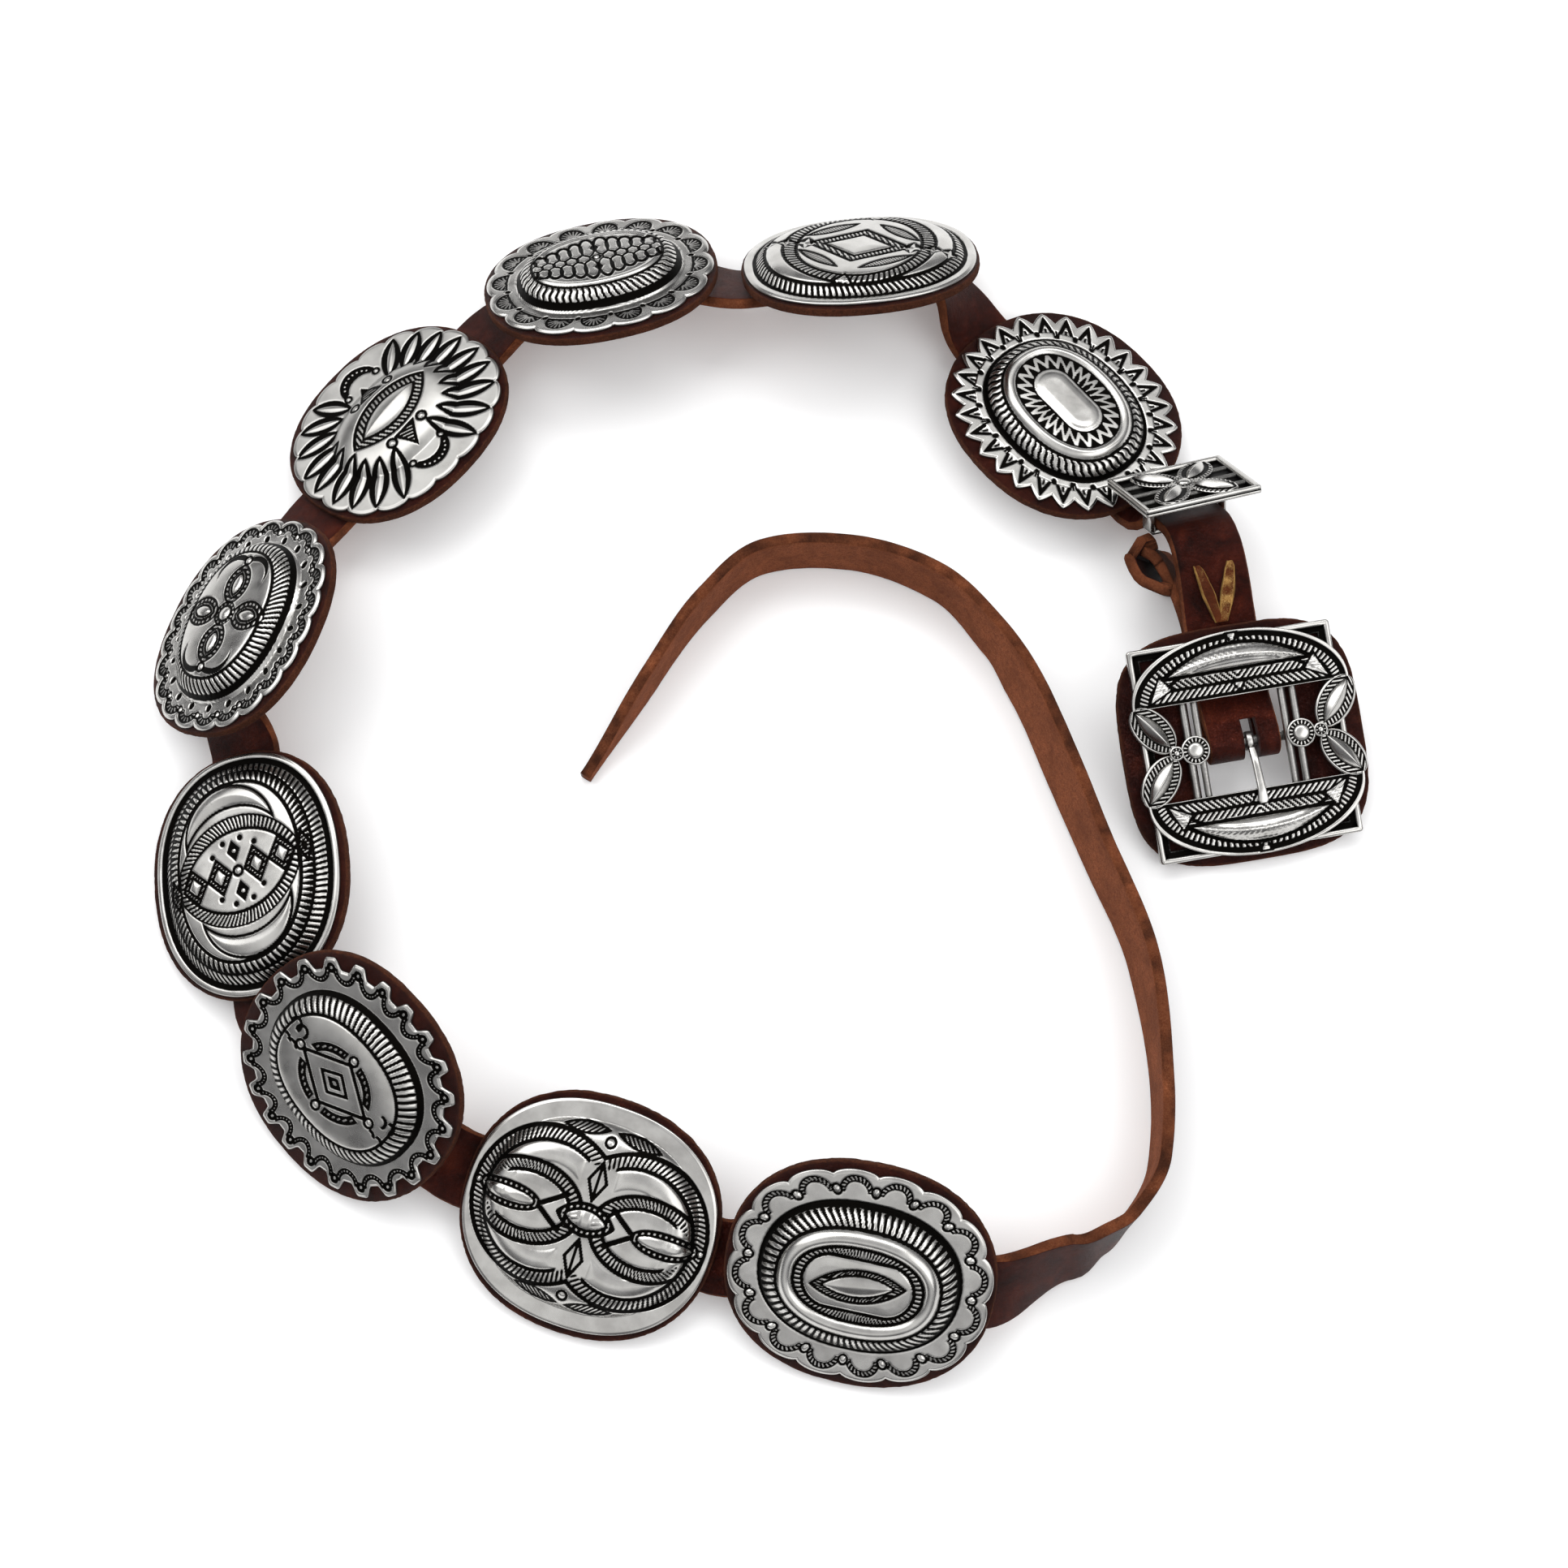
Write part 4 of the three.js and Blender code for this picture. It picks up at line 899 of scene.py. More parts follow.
# %% [markdown]
# ### From sheet to body
# A sheet needs a back. The rim gets a rounded edge, a wall and a hollow underside, so it is one
# closed body, and the flat loop for the strap is soldered inside, as on the real one. Wherever
# the surface lies lower than the ground round it, tarnish stays when the silver is polished, so
# the blurred height less the height adds a little black.

# %% Blocks with eased edges, and a strip bent into a loop
def rounded_block(shape, x0, x1, y0, y1, z0, z1, ease=0.25, **values):
    """A block with bevelled edges, its faces in one fixed order so that every run is the same."""
    low, high = np.array([x0, y0, z0]), np.array([x1, y1, z1])
    made = bmesh.new()
    bmesh.ops.create_cube(made, size=1)
    for vertex in made.verts:
        vertex.co = (np.array(vertex.co) + 0.5) * (high - low) + low
    bmesh.ops.bevel(made, geom=list(made.edges), offset=min(ease, (high - low).min() / 3),
                    segments=2, affect="EDGES")
    made.verts.index_update()
    triangles = []
    for face in made.faces:
        ring = [vertex.index for vertex in face.verts]
        first = ring.index(min(ring))
        ring = ring[first:] + ring[:first]
        triangles += [[ring[0], a, b] for a, b in zip(ring[1:], ring[2:])]
    shape.add([vertex.co[:] for vertex in made.verts], triangles=sorted(triangles), **values)
    made.free()


def leg(side, near, thick):
    """Where a leg on one side of the middle begins and ends."""
    return sorted([side * near, side * (near + thick)])


def flat_loop(shape, near, sheet, half, depth, top, turned_loop=False, **values):
    """Two legs and the strip that joins them below, open along the belt."""
    low = -depth - sheet
    for start, end, roof in ((*leg(-1, near, sheet), top), (*leg(1, near, sheet), top),
                             (-near - sheet, near + sheet, -depth)):
        plan = (start, end, -half, half) if turned_loop else (-half, half, start, end)
        rounded_block(shape, *plan, low, roof, **values)


# %% From a stamped face to a closed body
def blurred(grid):
    """The grid with every point drawn towards its neighbours, six times over."""
    for _ in range(6):
        grid = np.pad(grid, 1, mode="edge")
        grid = (grid[:-2, 1:-1] + grid[2:, 1:-1] + grid[1:-1, :-2] + grid[1:-1, 2:]
                + 4 * grid[1:-1, 1:-1]) / 8
    return grid


def border(rows, columns):
    """The points round the border of a grid, in order."""
    index = np.arange(rows * columns).reshape(rows, columns)
    return np.concatenate([index[0, :-1], index[:-1, -1], index[-1, :0:-1], index[:0:-1, 0]])


def closed_sheet(shape, x, y, z, floor, back, dark, grey=0.0, ease=0.35, foot=1.0):
    """A stamped face with its wall and back: floor is the rim's underside, back the middle's."""
    rows, columns = x.shape
    face = np.stack([x.ravel(), y.ravel(), z.ravel()], axis=1)
    rim = face[border(rows, columns)]
    middle = rim.mean(axis=0)
    inward = (middle - rim) * [1, 1, 0]
    inward /= np.maximum(np.linalg.norm(inward, axis=1, keepdims=True), 1e-6)
    count = len(rim)
    side = rim - inward * ease * 0.6 - [0, 0, ease]
    under = side.copy()
    under[:, 2] = floor
    hollow = under + inward * 2.2
    hollow[:, :2] = middle[:2] + (hollow - middle)[:, :2] * foot
    deep = middle + (hollow - middle) * 0.5
    deep[:, 2] = floor + (back - floor) * 0.6
    centre = np.array([[middle[0], middle[1], back]])
    start = face.shape[0]
    quads = [grid_faces(rows, columns)]
    rings = [border(rows, columns)] + [start + k * count + np.arange(count) for k in range(4)]
    for upper, lower in zip(rings, rings[1:]):
        quads.append(np.stack([np.roll(upper, -1), upper, lower, np.roll(lower, -1)], axis=1))
    last = rings[-1]
    fan = np.stack([np.roll(last, -1), last, np.full(count, start + 4 * count)], axis=1)
    points = np.concatenate([face, side, under, hollow, deep, centre])
    shade = np.concatenate([dark.ravel(), np.full(len(points) - dark.size, 0.25)])
    shape.add(points, np.concatenate(quads), fan, dark=shade, grey=grey)


def finish_sheet(sheet, layer):
    """Adds hand-made unevenness, which differs by layer, and the tarnish of every hollow."""
    spots = np.stack([sheet.x.ravel(), sheet.y.ravel(), np.full(sheet.x.size, layer)], axis=1)
    uneven = noise(spots, 7.0, 5).reshape(sheet.x.shape) * 0.07
    hollow = np.clip((blurred(sheet.z) - sheet.z - 0.05) * 2.2, 0, 0.55)
    sheet.dark = np.clip(np.maximum(sheet.dark, hollow), 0, 1)
    return sheet.z + uneven


# %% Strike all nine conchos
LOOP_IN, LOOP_SHEET, LOOP_HALF, LOOP_DEPTH = 13.05, 1.0, 5.0, 7.9
for order, (row, strike) in enumerate(zip(conchos, designs), 1):
    origin, turns, _, _, _, foot, dome, grey = row
    concho = Concho(row)
    strike(concho)
    height = finish_sheet(concho, order * 13.0)
    from_edge = (1 - concho.radius) * concho.b
    height -= 0.3 * (1 - smooth(from_edge, 0, 0.9))
    dark = concho.dark * smooth(from_edge, 0.2, 1.1)
    shape = Shape()
    closed_sheet(shape, concho.x, concho.y, height, 0, dome * 0.55, dark, grey, foot=foot - 0.03)
    flat_loop(shape, LOOP_IN, LOOP_SHEET, LOOP_HALF, LOOP_DEPTH, min(0.6, dome * 0.3),
              dark=0.3, grey=grey)
    shape.place(axes(*turns), np.array(origin))
    dress(shape.make(f"silver_concho_{order}"), f"concho_{order}", silver)

# %% [markdown]
# ## Leather backings
# Behind each concho lies an oval of dark leather that shows as a thin margin. Its cut edge is
# soft and a little uneven. A plate with a bevel modifier would look too even there, so the
# outline is swept round in rings that waver. A boolean modifier then cuts two slots for the
# loop's legs, and leaves their sides sharp, as a knife does.

# %% Ovals of leather
def cut_away(piece, cutter):
    """Cuts one object out of another and takes the cutter away."""
    tool = piece.modifiers.new("cut", "BOOLEAN")
    tool.operation, tool.object, tool.solver = "DIFFERENCE", cutter, "EXACT"
    bpy.context.view_layer.objects.active = piece
    bpy.ops.object.modifier_apply(modifier=tool.name)
    bpy.data.objects.remove(cutter)


def swept_plate(outline, low, high, seed):
    """A flat leather plate as one closed Shape: rings from the back round to the face."""
    shape = Shape()
    count = len(outline)
    thick = high - low
    step = np.roll(outline, -1, axis=0) - np.roll(outline, 1, axis=0)
    normal = np.stack([step[:, 1], -step[:, 0]], axis=1)
    normal /= np.linalg.norm(normal, axis=1, keepdims=True)
    rings = [np.column_stack([outline * share, np.full(count, low)])
             for share in (0.55, 0.8, 0.93)]
    raw = [1.0, 1.0, 1.0]
    for angle in np.linspace(-np.pi / 2, np.pi / 2, 9):
        inset = (1 - np.cos(angle) ** 0.6) * thick * 0.3
        height = (low + high) / 2 + squared(np.sin(angle), 0.7) * thick / 2
        ring = np.column_stack([outline - normal * inset, np.full(count, height)])
        wave = noise(ring, 3.0, seed) * 0.28 + noise(ring, 1.0, seed + 1) * 0.2
        ring[:, :2] -= normal * (np.abs(wave) * np.cos(angle))[:, None]
        rings.append(ring)
        raw.append(0.35 + 0.65 * np.cos(angle))
    for share in (0.93, 0.8, 0.55):
        rings.append(np.column_stack([outline * share, np.full(count, high)]))
        raw.append(0.0)
    shape.tube(rings, [[0, 0, low], [0, 0, high]], shade=0.0,
               raw=np.concatenate([np.repeat(raw, count), [1.0, 0.0]]))
    return shape


def block_cutter(x0, x1, y0, y1, z0, z1, frame_axes, origin):
    cutter = Shape()
    x, y, z = np.meshgrid([x0, x1], [y0, y1], [z0, z1], indexing="ij")
    points = np.stack([x.ravel(), y.ravel(), z.ravel()], axis=1)
    faces = [[0, 1, 3, 2], [4, 6, 7, 5], [0, 4, 5, 1], [2, 3, 7, 6], [0, 2, 6, 4], [1, 5, 7, 3]]
    cutter.add(points, faces)
    cutter.place(frame_axes, np.array(origin))
    return cutter.make("cutter")


# %% Nine backings with slots
GAP, BACKING, MARGIN_END, MARGIN_SIDE, SLOT_ROOM = 0.3, 3.0, 1.4, 2.6, 0.4
ring = np.linspace(0, 2 * np.pi, 220, endpoint=False)
for order, row in enumerate(conchos, 1):
    origin, turns, long, wide = row[:4]
    half_length = HALF_LENGTH * long + MARGIN_END
    half_width = HALF_WIDTH * wide + MARGIN_SIDE
    outline = np.stack([np.cos(ring) * oval_reach(ring) * half_length,
                        np.sin(ring) * oval_reach(ring) * half_width], axis=1)
    shape = swept_plate(outline, -GAP - BACKING, -GAP, 40 + order)
    frame_axes = axes(*turns)
    shape.place(frame_axes, np.array(origin))
    piece = shape.make(f"leather_backing_{order}")
    for side in (-1, 1):
        slot = leg(side, LOOP_IN - SLOT_ROOM, LOOP_SHEET + 2 * SLOT_ROOM)
        cut_away(piece, block_cutter(-LOOP_HALF - SLOT_ROOM, LOOP_HALF + SLOT_ROOM, *slot, -4, 0,
                                     frame_axes, origin))
    dress(piece, f"backing_{order}", backing_finish)

# %% [markdown]
# ## The strap
# One long piece of heavy leather. It starts in a small curl, passes under the buckle, turns round
# the buckle's bar, comes back through the keeper, runs behind all nine conchos and ends standing
# on its edge in a wide curve. A curve with an array of plates would follow it too, but it would
# twist wherever it liked. The CAD draws it through stations that say where its edge points, so
# the same stations are used here, with ten times the sections, rounded edges, and the slight
# waver of cut leather.

# %% The stations
STRAP_WIDTH, STRAP_THICK, PITCH = 25.5, 4.0, 91.0
STRAP_DEPTH = GAP + BACKING + GAP + STRAP_THICK / 2
TABLE = 0.0834  # how far the belt's lowest point clears the table, in mm
buckle_axes = axes(100, 0, 17)
buckle_origin = np.array([167.3256, 3.4290, 15.1679])
keeper_axes = axes(116, 13, -42)
keeper_origin = np.array([149.1256, 92.1540, 27.2334])


def station(place, way, edge, steps, wide=1.0):
    return dict(place=np.array(place, float), way=np.array(way) / np.linalg.norm(way),
                edge=np.array(edge, float), steps=steps, wide=wide)


def between(a, b, share):
    """A point on the smooth curve from one station to the next."""
    chord = np.linalg.norm(a["place"] - b["place"])
    s2, s3 = share ** 2, share ** 3
    place = (a["place"] * (2 * s3 - 3 * s2 + 1) + a["way"] * (s3 - 2 * s2 + share) * chord
             + b["place"] * (3 * s2 - 2 * s3) + b["way"] * (s3 - s2) * chord)
    way = (a["place"] * (6 * s2 - 6 * share) + a["way"] * (3 * s2 - 4 * share + 1) * chord
           + b["place"] * (6 * share - 6 * s2) + b["way"] * (3 * s2 - 2 * share) * chord)
    way /= np.linalg.norm(way)
    eased = 3 * s2 - 2 * s3
    edge = a["edge"] * (1 - eased) + b["edge"] * eased
    edge = edge - way * edge.dot(way)
    return place, way, edge / np.linalg.norm(edge), a["wide"] + (b["wide"] - a["wide"]) * eased


def in_buckle(v, h, way_v, way_h, steps):
    return station(buckle_origin + np.array([v, 0, h]) @ buckle_axes,
                   np.array([way_v, 0, way_h]) @ buckle_axes, buckle_axes[1], steps)


# %% The curl
curl = [(-1.08, 2.1, 172), (-1.27, 2.16, 148), (-1.44, 2.36, 104), (-1.47, 2.54, 62),
        (-1.33, 2.64, -14), (-1.1, 2.44, -54)]
curl_way, curl_climb, curl_high = np.radians(208), np.radians(60), 0.95
curl_edge = np.array([np.cos(curl_way) * np.cos(curl_climb),
                      np.sin(curl_way) * np.cos(curl_climb), np.sin(curl_climb)])
stations = []
for east, north, heading in curl:
    upper = np.array([buckle_origin[0] + east * STRAP_WIDTH,
                      buckle_origin[1] + north * STRAP_WIDTH, curl_high * STRAP_WIDTH + TABLE])
    way = np.array([np.cos(np.radians(heading)), np.sin(np.radians(heading)), 0])
    way = way - curl_edge * way.dot(curl_edge)
    stations.append(station(upper - curl_edge * STRAP_WIDTH / 2, way, curl_edge, 2))
stations[-1]["steps"] = 6

# %% The fold round the bar, and the keeper
BAR_DROP, FOLD, FRONT, BACK = -3.0, 4.05, -5.6, -9.9
UNDER_TOP, PAST_TOP = 18.5, 40.4
stations += [
    in_buckle(PAST_TOP, BACK, -1, 0, 2), in_buckle(UNDER_TOP, BACK, -1, 0, 3),
    in_buckle(0, BAR_DROP - FOLD, -1, 0, 4), in_buckle(-FOLD, BAR_DROP, 0, 1, 4),
    in_buckle(0, BAR_DROP + FOLD, 1, 0, 3), in_buckle(UNDER_TOP, FRONT, 1, 0, 2)]
front_end = in_buckle(PAST_TOP, FRONT, 1, 0, 8)
stations.append(front_end)
KEEPER_INSIDE, KEEPER_HALF_LOOP = 11.6, 4.0
keeper_ends = [station(
    keeper_origin + np.array([side * (KEEPER_HALF_LOOP + 2.4), 0,
                              -(KEEPER_INSIDE - GAP - STRAP_THICK / 2)]) @ keeper_axes,
    keeper_axes[0], keeper_axes[1], steps) for side, steps in ((-1, 1), (1, 4))]
stations += keeper_ends

# %% Behind the nine conchos
CONCHO_LENGTH, LOOP_CLEAR, STRAP_SLACK = 83, 5.9, 1.2
# how far the strap runs straight before and after a concho's middle, and its slack there
runs = [(0.52, 0.5, 0), (0.24, 0.5, 1), (0.24, 0.24, 1), (0.5, 0.5, 0), (0.24, 0.24, 1),
        (0.51, 0.52, 0), (0.1, 0.24, 2.6), (0.51, 0.5, 0), (0.24, 0.44, 1)]
for row, (before, after, slack) in zip(conchos, runs):
    origin, own = np.array(row[0]), axes(*row[1])
    depth = STRAP_DEPTH + STRAP_SLACK * slack
    for along, down, steps in (
            (-before * CONCHO_LENGTH, depth, 1), (-LOOP_CLEAR, STRAP_DEPTH, 1),
            (LOOP_CLEAR, STRAP_DEPTH, 1), (after * CONCHO_LENGTH, depth, 5)):
        place = origin + np.array([along, 0, -down]) @ own
        stations.append(station(place, own[0], own[1], steps))

# %% The free end, on its edge
free_end = [
    # east, north, heading, lean, wide
    (0.755, 0.13, 8, -22, 1), (0.86, 0.155, 28, -9, 1), (0.975, 0.222, 50, 0, 1),
    (1.092, 0.42, 80, 2, 1), (1.113, 0.69, 91, 2, 1), (1.08, 1.169, 102, 9, 1),
    (0.951, 1.538, 112, 11, 1), (0.818, 1.912, 111, 14, 1), (0.666, 2.274, 118, 13, 1),
    (0.558, 2.435, 129, 8, 1), (0.332, 2.66, 149, 3, 1), (-0.021, 2.778, 174, 0, 1),
    (-0.353, 2.757, 198, 0, 1), (-0.574, 2.567, 228, 0, 1), (-0.77, 2.285, 239, 0, 0.85),
    (-1.022, 1.9, 238, 0, 0.22)]
last_concho = np.array(conchos[-1][0])
before_free = len(stations) - 1
for east, north, heading, lean, wide in free_end:
    turn, tip = np.radians(heading), np.radians(lean)
    edge = np.array([np.sin(turn) * np.sin(tip), -np.cos(turn) * np.sin(tip), np.cos(tip)])
    width = STRAP_WIDTH * wide
    high = width * np.cos(tip) + STRAP_THICK / 2 * abs(np.sin(tip)) + TABLE
    upper = np.array([last_concho[0] + east * PITCH, last_concho[1] + north * PITCH, high])
    way = np.array([np.cos(turn), np.sin(turn), 0])
    way = way - edge * way.dot(edge)
    stations.append(station(upper - edge * width / 2, way, edge, 3, wide))
print("stations along the strap:", len(stations))


# %% Sections with rounded edges
def strap_section():
    """Half-width and half-thickness shares round the section, and how raw each point is."""
    across = np.linspace(-0.9, 0.9, 11)
    edge = np.radians([28, 62, 90, 118, 152])
    grain = [(a, 1.0, 0.0) for a in across]
    upper = [(0.9 + 0.1 * np.sin(e), np.cos(e), 1.0) for e in edge]
    flesh = [(a, -1.0, 1.0) for a in across[::-1]]
    lower = [(-0.9 - 0.1 * np.sin(e), -np.cos(e), 1.0) for e in edge]
    return np.array(grain + upper + flesh + lower)


def loft(sections, width, thick, seed, fuzz=0.1):
    """A strap through the sections, as a closed Shape."""
    profile = strap_section()
    count = len(profile)
    points, raw = [], []
    for place, way, edge, wide in sections:
        out = np.cross(way, edge)
        half = width * wide / 2
        inset = min(0.9, half * 0.3)
        side = np.sign(profile[:, 0]) * np.where(
            np.abs(profile[:, 0]) > 0.9, half - inset + (np.abs(profile[:, 0]) - 0.9) * 10 * inset,
            np.abs(profile[:, 0]) / 0.9 * (half - inset))
        points.append(place + np.outer(side, edge) + np.outer(profile[:, 1] * thick / 2, out))
        raw.append(profile[:, 2])
    points, raw = np.concatenate(points), np.concatenate(raw)
    middles = np.repeat([s[0] for s in sections], count, axis=0)
    inward = middles - points
    inward /= np.maximum(np.linalg.norm(inward, axis=1, keepdims=True), 1e-6)
    dent = np.abs(noise(points, 6, seed)) * fuzz + np.abs(noise(points, 1.1, seed + 1)) * fuzz * (
        0.3 + 1.2 * raw)
    cloud = 0.42 + noise(points, 6.0, seed + 2) * 0.35 + noise(points, 2.4, seed + 3) * 0.3
    at_edge = np.abs(np.tile(profile[:, 0], len(sections))) > 0.9
    mottled = np.clip(cloud, 0, 0.8) * at_edge
    points = (points + inward * dent[:, None]).reshape(len(sections), count, 3)
    shape = Shape()
    shape.tube(points, [sections[0][0], sections[-1][0]], flipped=True,
               raw=np.concatenate([raw, [1, 1]]), shade=np.concatenate([mottled, [0, 0]]))
    return shape


# %% The strap from end to end
sections = []
for a, b in zip(stations, stations[1:]):
    length = np.linalg.norm(a["place"] - b["place"])
    steps = int(np.clip(length / 1.6, a["steps"] * 2, 60))
    sections += [between(a, b, k / steps) for k in range(steps)]
sections.append(between(stations[-2], stations[-1], 1))
strap_shape = loft(sections, STRAP_WIDTH, STRAP_THICK, 70)
# The inside of the curl lies in its own shadow and is darker.
curl_from = buckle_origin + [-1.28 * STRAP_WIDTH, 2.42 * STRAP_WIDTH, 0]
near_curl = np.linalg.norm((strap_shape.points[0] - curl_from)[:, :2], axis=1) < 12
hidden = near_curl & (strap_shape.values[0]["shade"] == 0)
strap_shape.values[0]["shade"] = np.maximum(strap_shape.values[0]["shade"], hidden * 0.75)
strap = strap_shape.make("long_strap")
print("strap sections:", len(sections))


# %% [markdown]
# The slot for the tongue, the lacing holes and the belt hole are cut through it, as a punch
# would.

# %% Slot and holes
def peg(base, across, radius, above, below):
    """A round peg square to the strap at a section."""
    place, way, edge, _ = base
    out = np.cross(way, edge)
    angle = np.linspace(0, 2 * np.pi, 24, endpoint=False)
    ring = (np.outer(np.cos(angle), way) + np.outer(np.sin(angle), edge)) * radius
    middles = [place + edge * across + out * h for h in (-below, above)]
    shape = Shape()
    shape.tube([middle + ring for middle in middles], middles, flipped=True)
    return shape.make("cutter")


SLOT_HALF, TONGUE_ASIDE, SLOT_BACK = 2.7, -2.4, 7.8
cut_away(strap, block_cutter(-FOLD - 4, SLOT_BACK, TONGUE_ASIDE - SLOT_HALF,
                             TONGUE_ASIDE + SLOT_HALF, BAR_DROP - FOLD - 4, BAR_DROP + FOLD + 4,
                             buckle_axes, buckle_origin))
lace_low = between(front_end, keeper_ends[0], 0.04)
lace_high = between(front_end, keeper_ends[0], 0.53)
LACE_ASIDE = 6.0
for base, across in ((lace_high, -LACE_ASIDE), (lace_high, LACE_ASIDE), (lace_low, 0)):
    cut_away(strap, peg(base, across, 1.5 if across == 0 else 1.9, 4, 2.15))
free_hole = between(stations[before_free], stations[before_free + 1], 0.62)
cut_away(strap, peg(free_hole, 0, 1.3, 4, 4))
dress(strap, "strap", strap_finish)


# %% [markdown]
# ## The lacing thong
# A narrow thong crosses the strap in a V between buckle and keeper. Its cut edges are yellow.
# A curve with a bevel would give a round cord, but the thong is flat and thins towards its
# holes. So each arm is drawn section by section, as the strap is, and dips into its hole.

# %% Two arms and their ends
LACE_WIDTH, LACE_THICK = 5.4, 1.5
LACE_LIFT = STRAP_THICK / 2 + GAP + LACE_THICK / 2


def lace_arm(side):
    """One arm, from the hole that both share to its own."""
    made = []
    for step in range(41):
        share = step / 40
        place, way, edge, _ = between(front_end, keeper_ends[0], 0.04 + 0.46 * share)
        out = np.cross(way, edge)
        near_end = max(0, share - 0.9) / 0.1
        lift = LACE_LIFT - 0.9 * near_end ** 2
        bow = 0.35 * np.sin(np.pi * share)
        spot = place + out * (lift + bow) + edge * side * LACE_ASIDE * (0.12 + 0.88 * share)
        roll = np.radians(side * 14 * np.sin(np.pi * share))
        wide = (1 - 0.42 * abs(share - 0.5) * 2) * (1 - 0.3 * near_end)
        made.append((spot, way, edge * np.cos(roll) + out * np.sin(roll), wide))
    return loft(made, LACE_WIDTH, LACE_THICK, 90 + side, 0.08)


lace = Shape()
for side in (-1, 1):
    arm = lace_arm(side)
    wear = (0.42 if side < 0 else 0.12) + noise(arm.points[0], 3.0, 7) * 0.3
    arm.values[0]["raw"] = np.clip(arm.values[0]["raw"] + wear, 0, 1)
    lace.add(arm.points[0], arm.quads[0], arm.triangles[0], **arm.values[0])
piece = lace.make("lacing_thong")
dress(piece, "lace", lace_finish)

# %% [markdown]
# ## The buckle
# A square frame with a raised edge carries two half-oval plates stamped like the conchos, two
# flowers of four petals, two buttons and four rails beside the window. All of it is soldered, so
# it is one object. Each stamped plate is a grid again, pulled into the plate's outline.

# %% The frame: a rounded edge swept round a rectangle
HALF_W, HALF_H = 35.5, 37.0


def swept_frame(shape, half_x, half_y, turn_radius, profile, grey):
    """A profile of (inset, height, dark) rows swept round a rectangle with eased corners."""
    middles = np.array([(1, 1), (-1, 1), (-1, -1), (1, -1)]) * [half_x - turn_radius,
                                                                half_y - turn_radius]
    share = np.linspace(0, 1, 26)[1:-1, None]
    outline, normal = [], []
    for quarter, (middle, following) in enumerate(zip(middles, np.roll(middles, -1, axis=0))):
        angle = np.linspace(0, np.pi / 2, 7) + quarter * np.pi / 2
        way = np.stack([np.cos(angle), np.sin(angle)], axis=1)
        start, end = middle + way[-1] * turn_radius, following + way[-1] * turn_radius
        outline += [middle + way * turn_radius, start + (end - start) * share]
        normal += [way, np.repeat(way[-1:], len(share), axis=0)]
    outline, normal = np.concatenate(outline), np.concatenate(normal)
    count = len(outline)
    rings = [np.column_stack([outline - normal * inset, np.full(count, height)])
             for inset, height, _ in profile]
    shape.add(np.concatenate(rings), hoop_faces(len(profile), count)[:, ::-1],
              dark=np.repeat([dark for _, _, dark in profile], count), grey=grey)


frame_shape = Shape()
frame_profile = [
    (0.0, 0.3, 0.2), (0.0, 2.1, 0.1), (0.25, 2.55, 0.0), (0.8, 2.7, 0.0), (1.5, 2.65, 0.05),
    (1.9, 2.3, 0.35), (2.1, 1.75, 0.75), (2.9, 1.55, 0.6), (3.8, 1.5, 0.5), (4.2, 1.2, 0.4),
    (4.2, 0.25, 0.6), (3.9, 0.0, 0.6), (0.35, 0.0, 0.3)]
swept_frame(frame_shape, HALF_W, HALF_H, 1.2, frame_profile, 0.1)


# %% Rails, bar and its supports
def rod(shape, start, end, radius, turns=20, flat=1.0, **values):
    """A round or flattened rod with eased ends."""
    start, end = np.array(start, float), np.array(end, float)
    way = (end - start) / np.linalg.norm(end - start)
    side = np.cross(way, [0, 0, 1.0])
    side /= np.linalg.norm(side)
    up = np.cross(side, way)
    angle = np.linspace(0, 2 * np.pi, turns, endpoint=False)
    ring = np.outer(np.cos(angle), side) + np.outer(np.sin(angle), up) * flat
    length = np.linalg.norm(end - start)
    rings = [start + way * along + ring * radius * share for along, share in (
        (0, 0.6), (0.12 * radius, 0.85), (0.5 * radius, 1), (length / 2, 1),
        (length - 0.5 * radius, 1), (length - 0.12 * radius, 0.85), (length, 0.6))]
    shape.tube(rings, [start, end], **values)


RAIL_WIDTH, RAIL_GAP, WINDOW_HALF, RAIL_HALF = 2.4, 1.6, 14.0, 19.3
POST_IN, POST_THICK, POST_HALF, FACE = 14.2, 2.2, 1.75, 1.5
for side in (-1, 1):
    for order in (0, 1):
        middle = side * (WINDOW_HALF + order * (RAIL_WIDTH + RAIL_GAP) + RAIL_WIDTH / 2)
        rod(frame_shape, (middle, -RAIL_HALF, FACE), (middle, RAIL_HALF, FACE), RAIL_WIDTH / 2,
            dark=0.2, grey=0.3)
    rounded_block(frame_shape, *leg(side, POST_IN, POST_THICK), -POST_HALF, POST_HALF, BAR_DROP,
                  FACE, 0.4, dark=0.3, grey=0.2)
bar_end = POST_IN + POST_THICK
rod(frame_shape, (-bar_end, 0, BAR_DROP), (bar_end, 0, BAR_DROP), POST_HALF, 24, dark=0.25,
    grey=0.2)


# %% The two stamped half ovals
OVERLAY_HALF, OVERLAY_LOW, OVERLAY_TALL, ASIDE = 37.6, 16.5, 21.9, 1.0
OVERLAY_TOP = 3.9


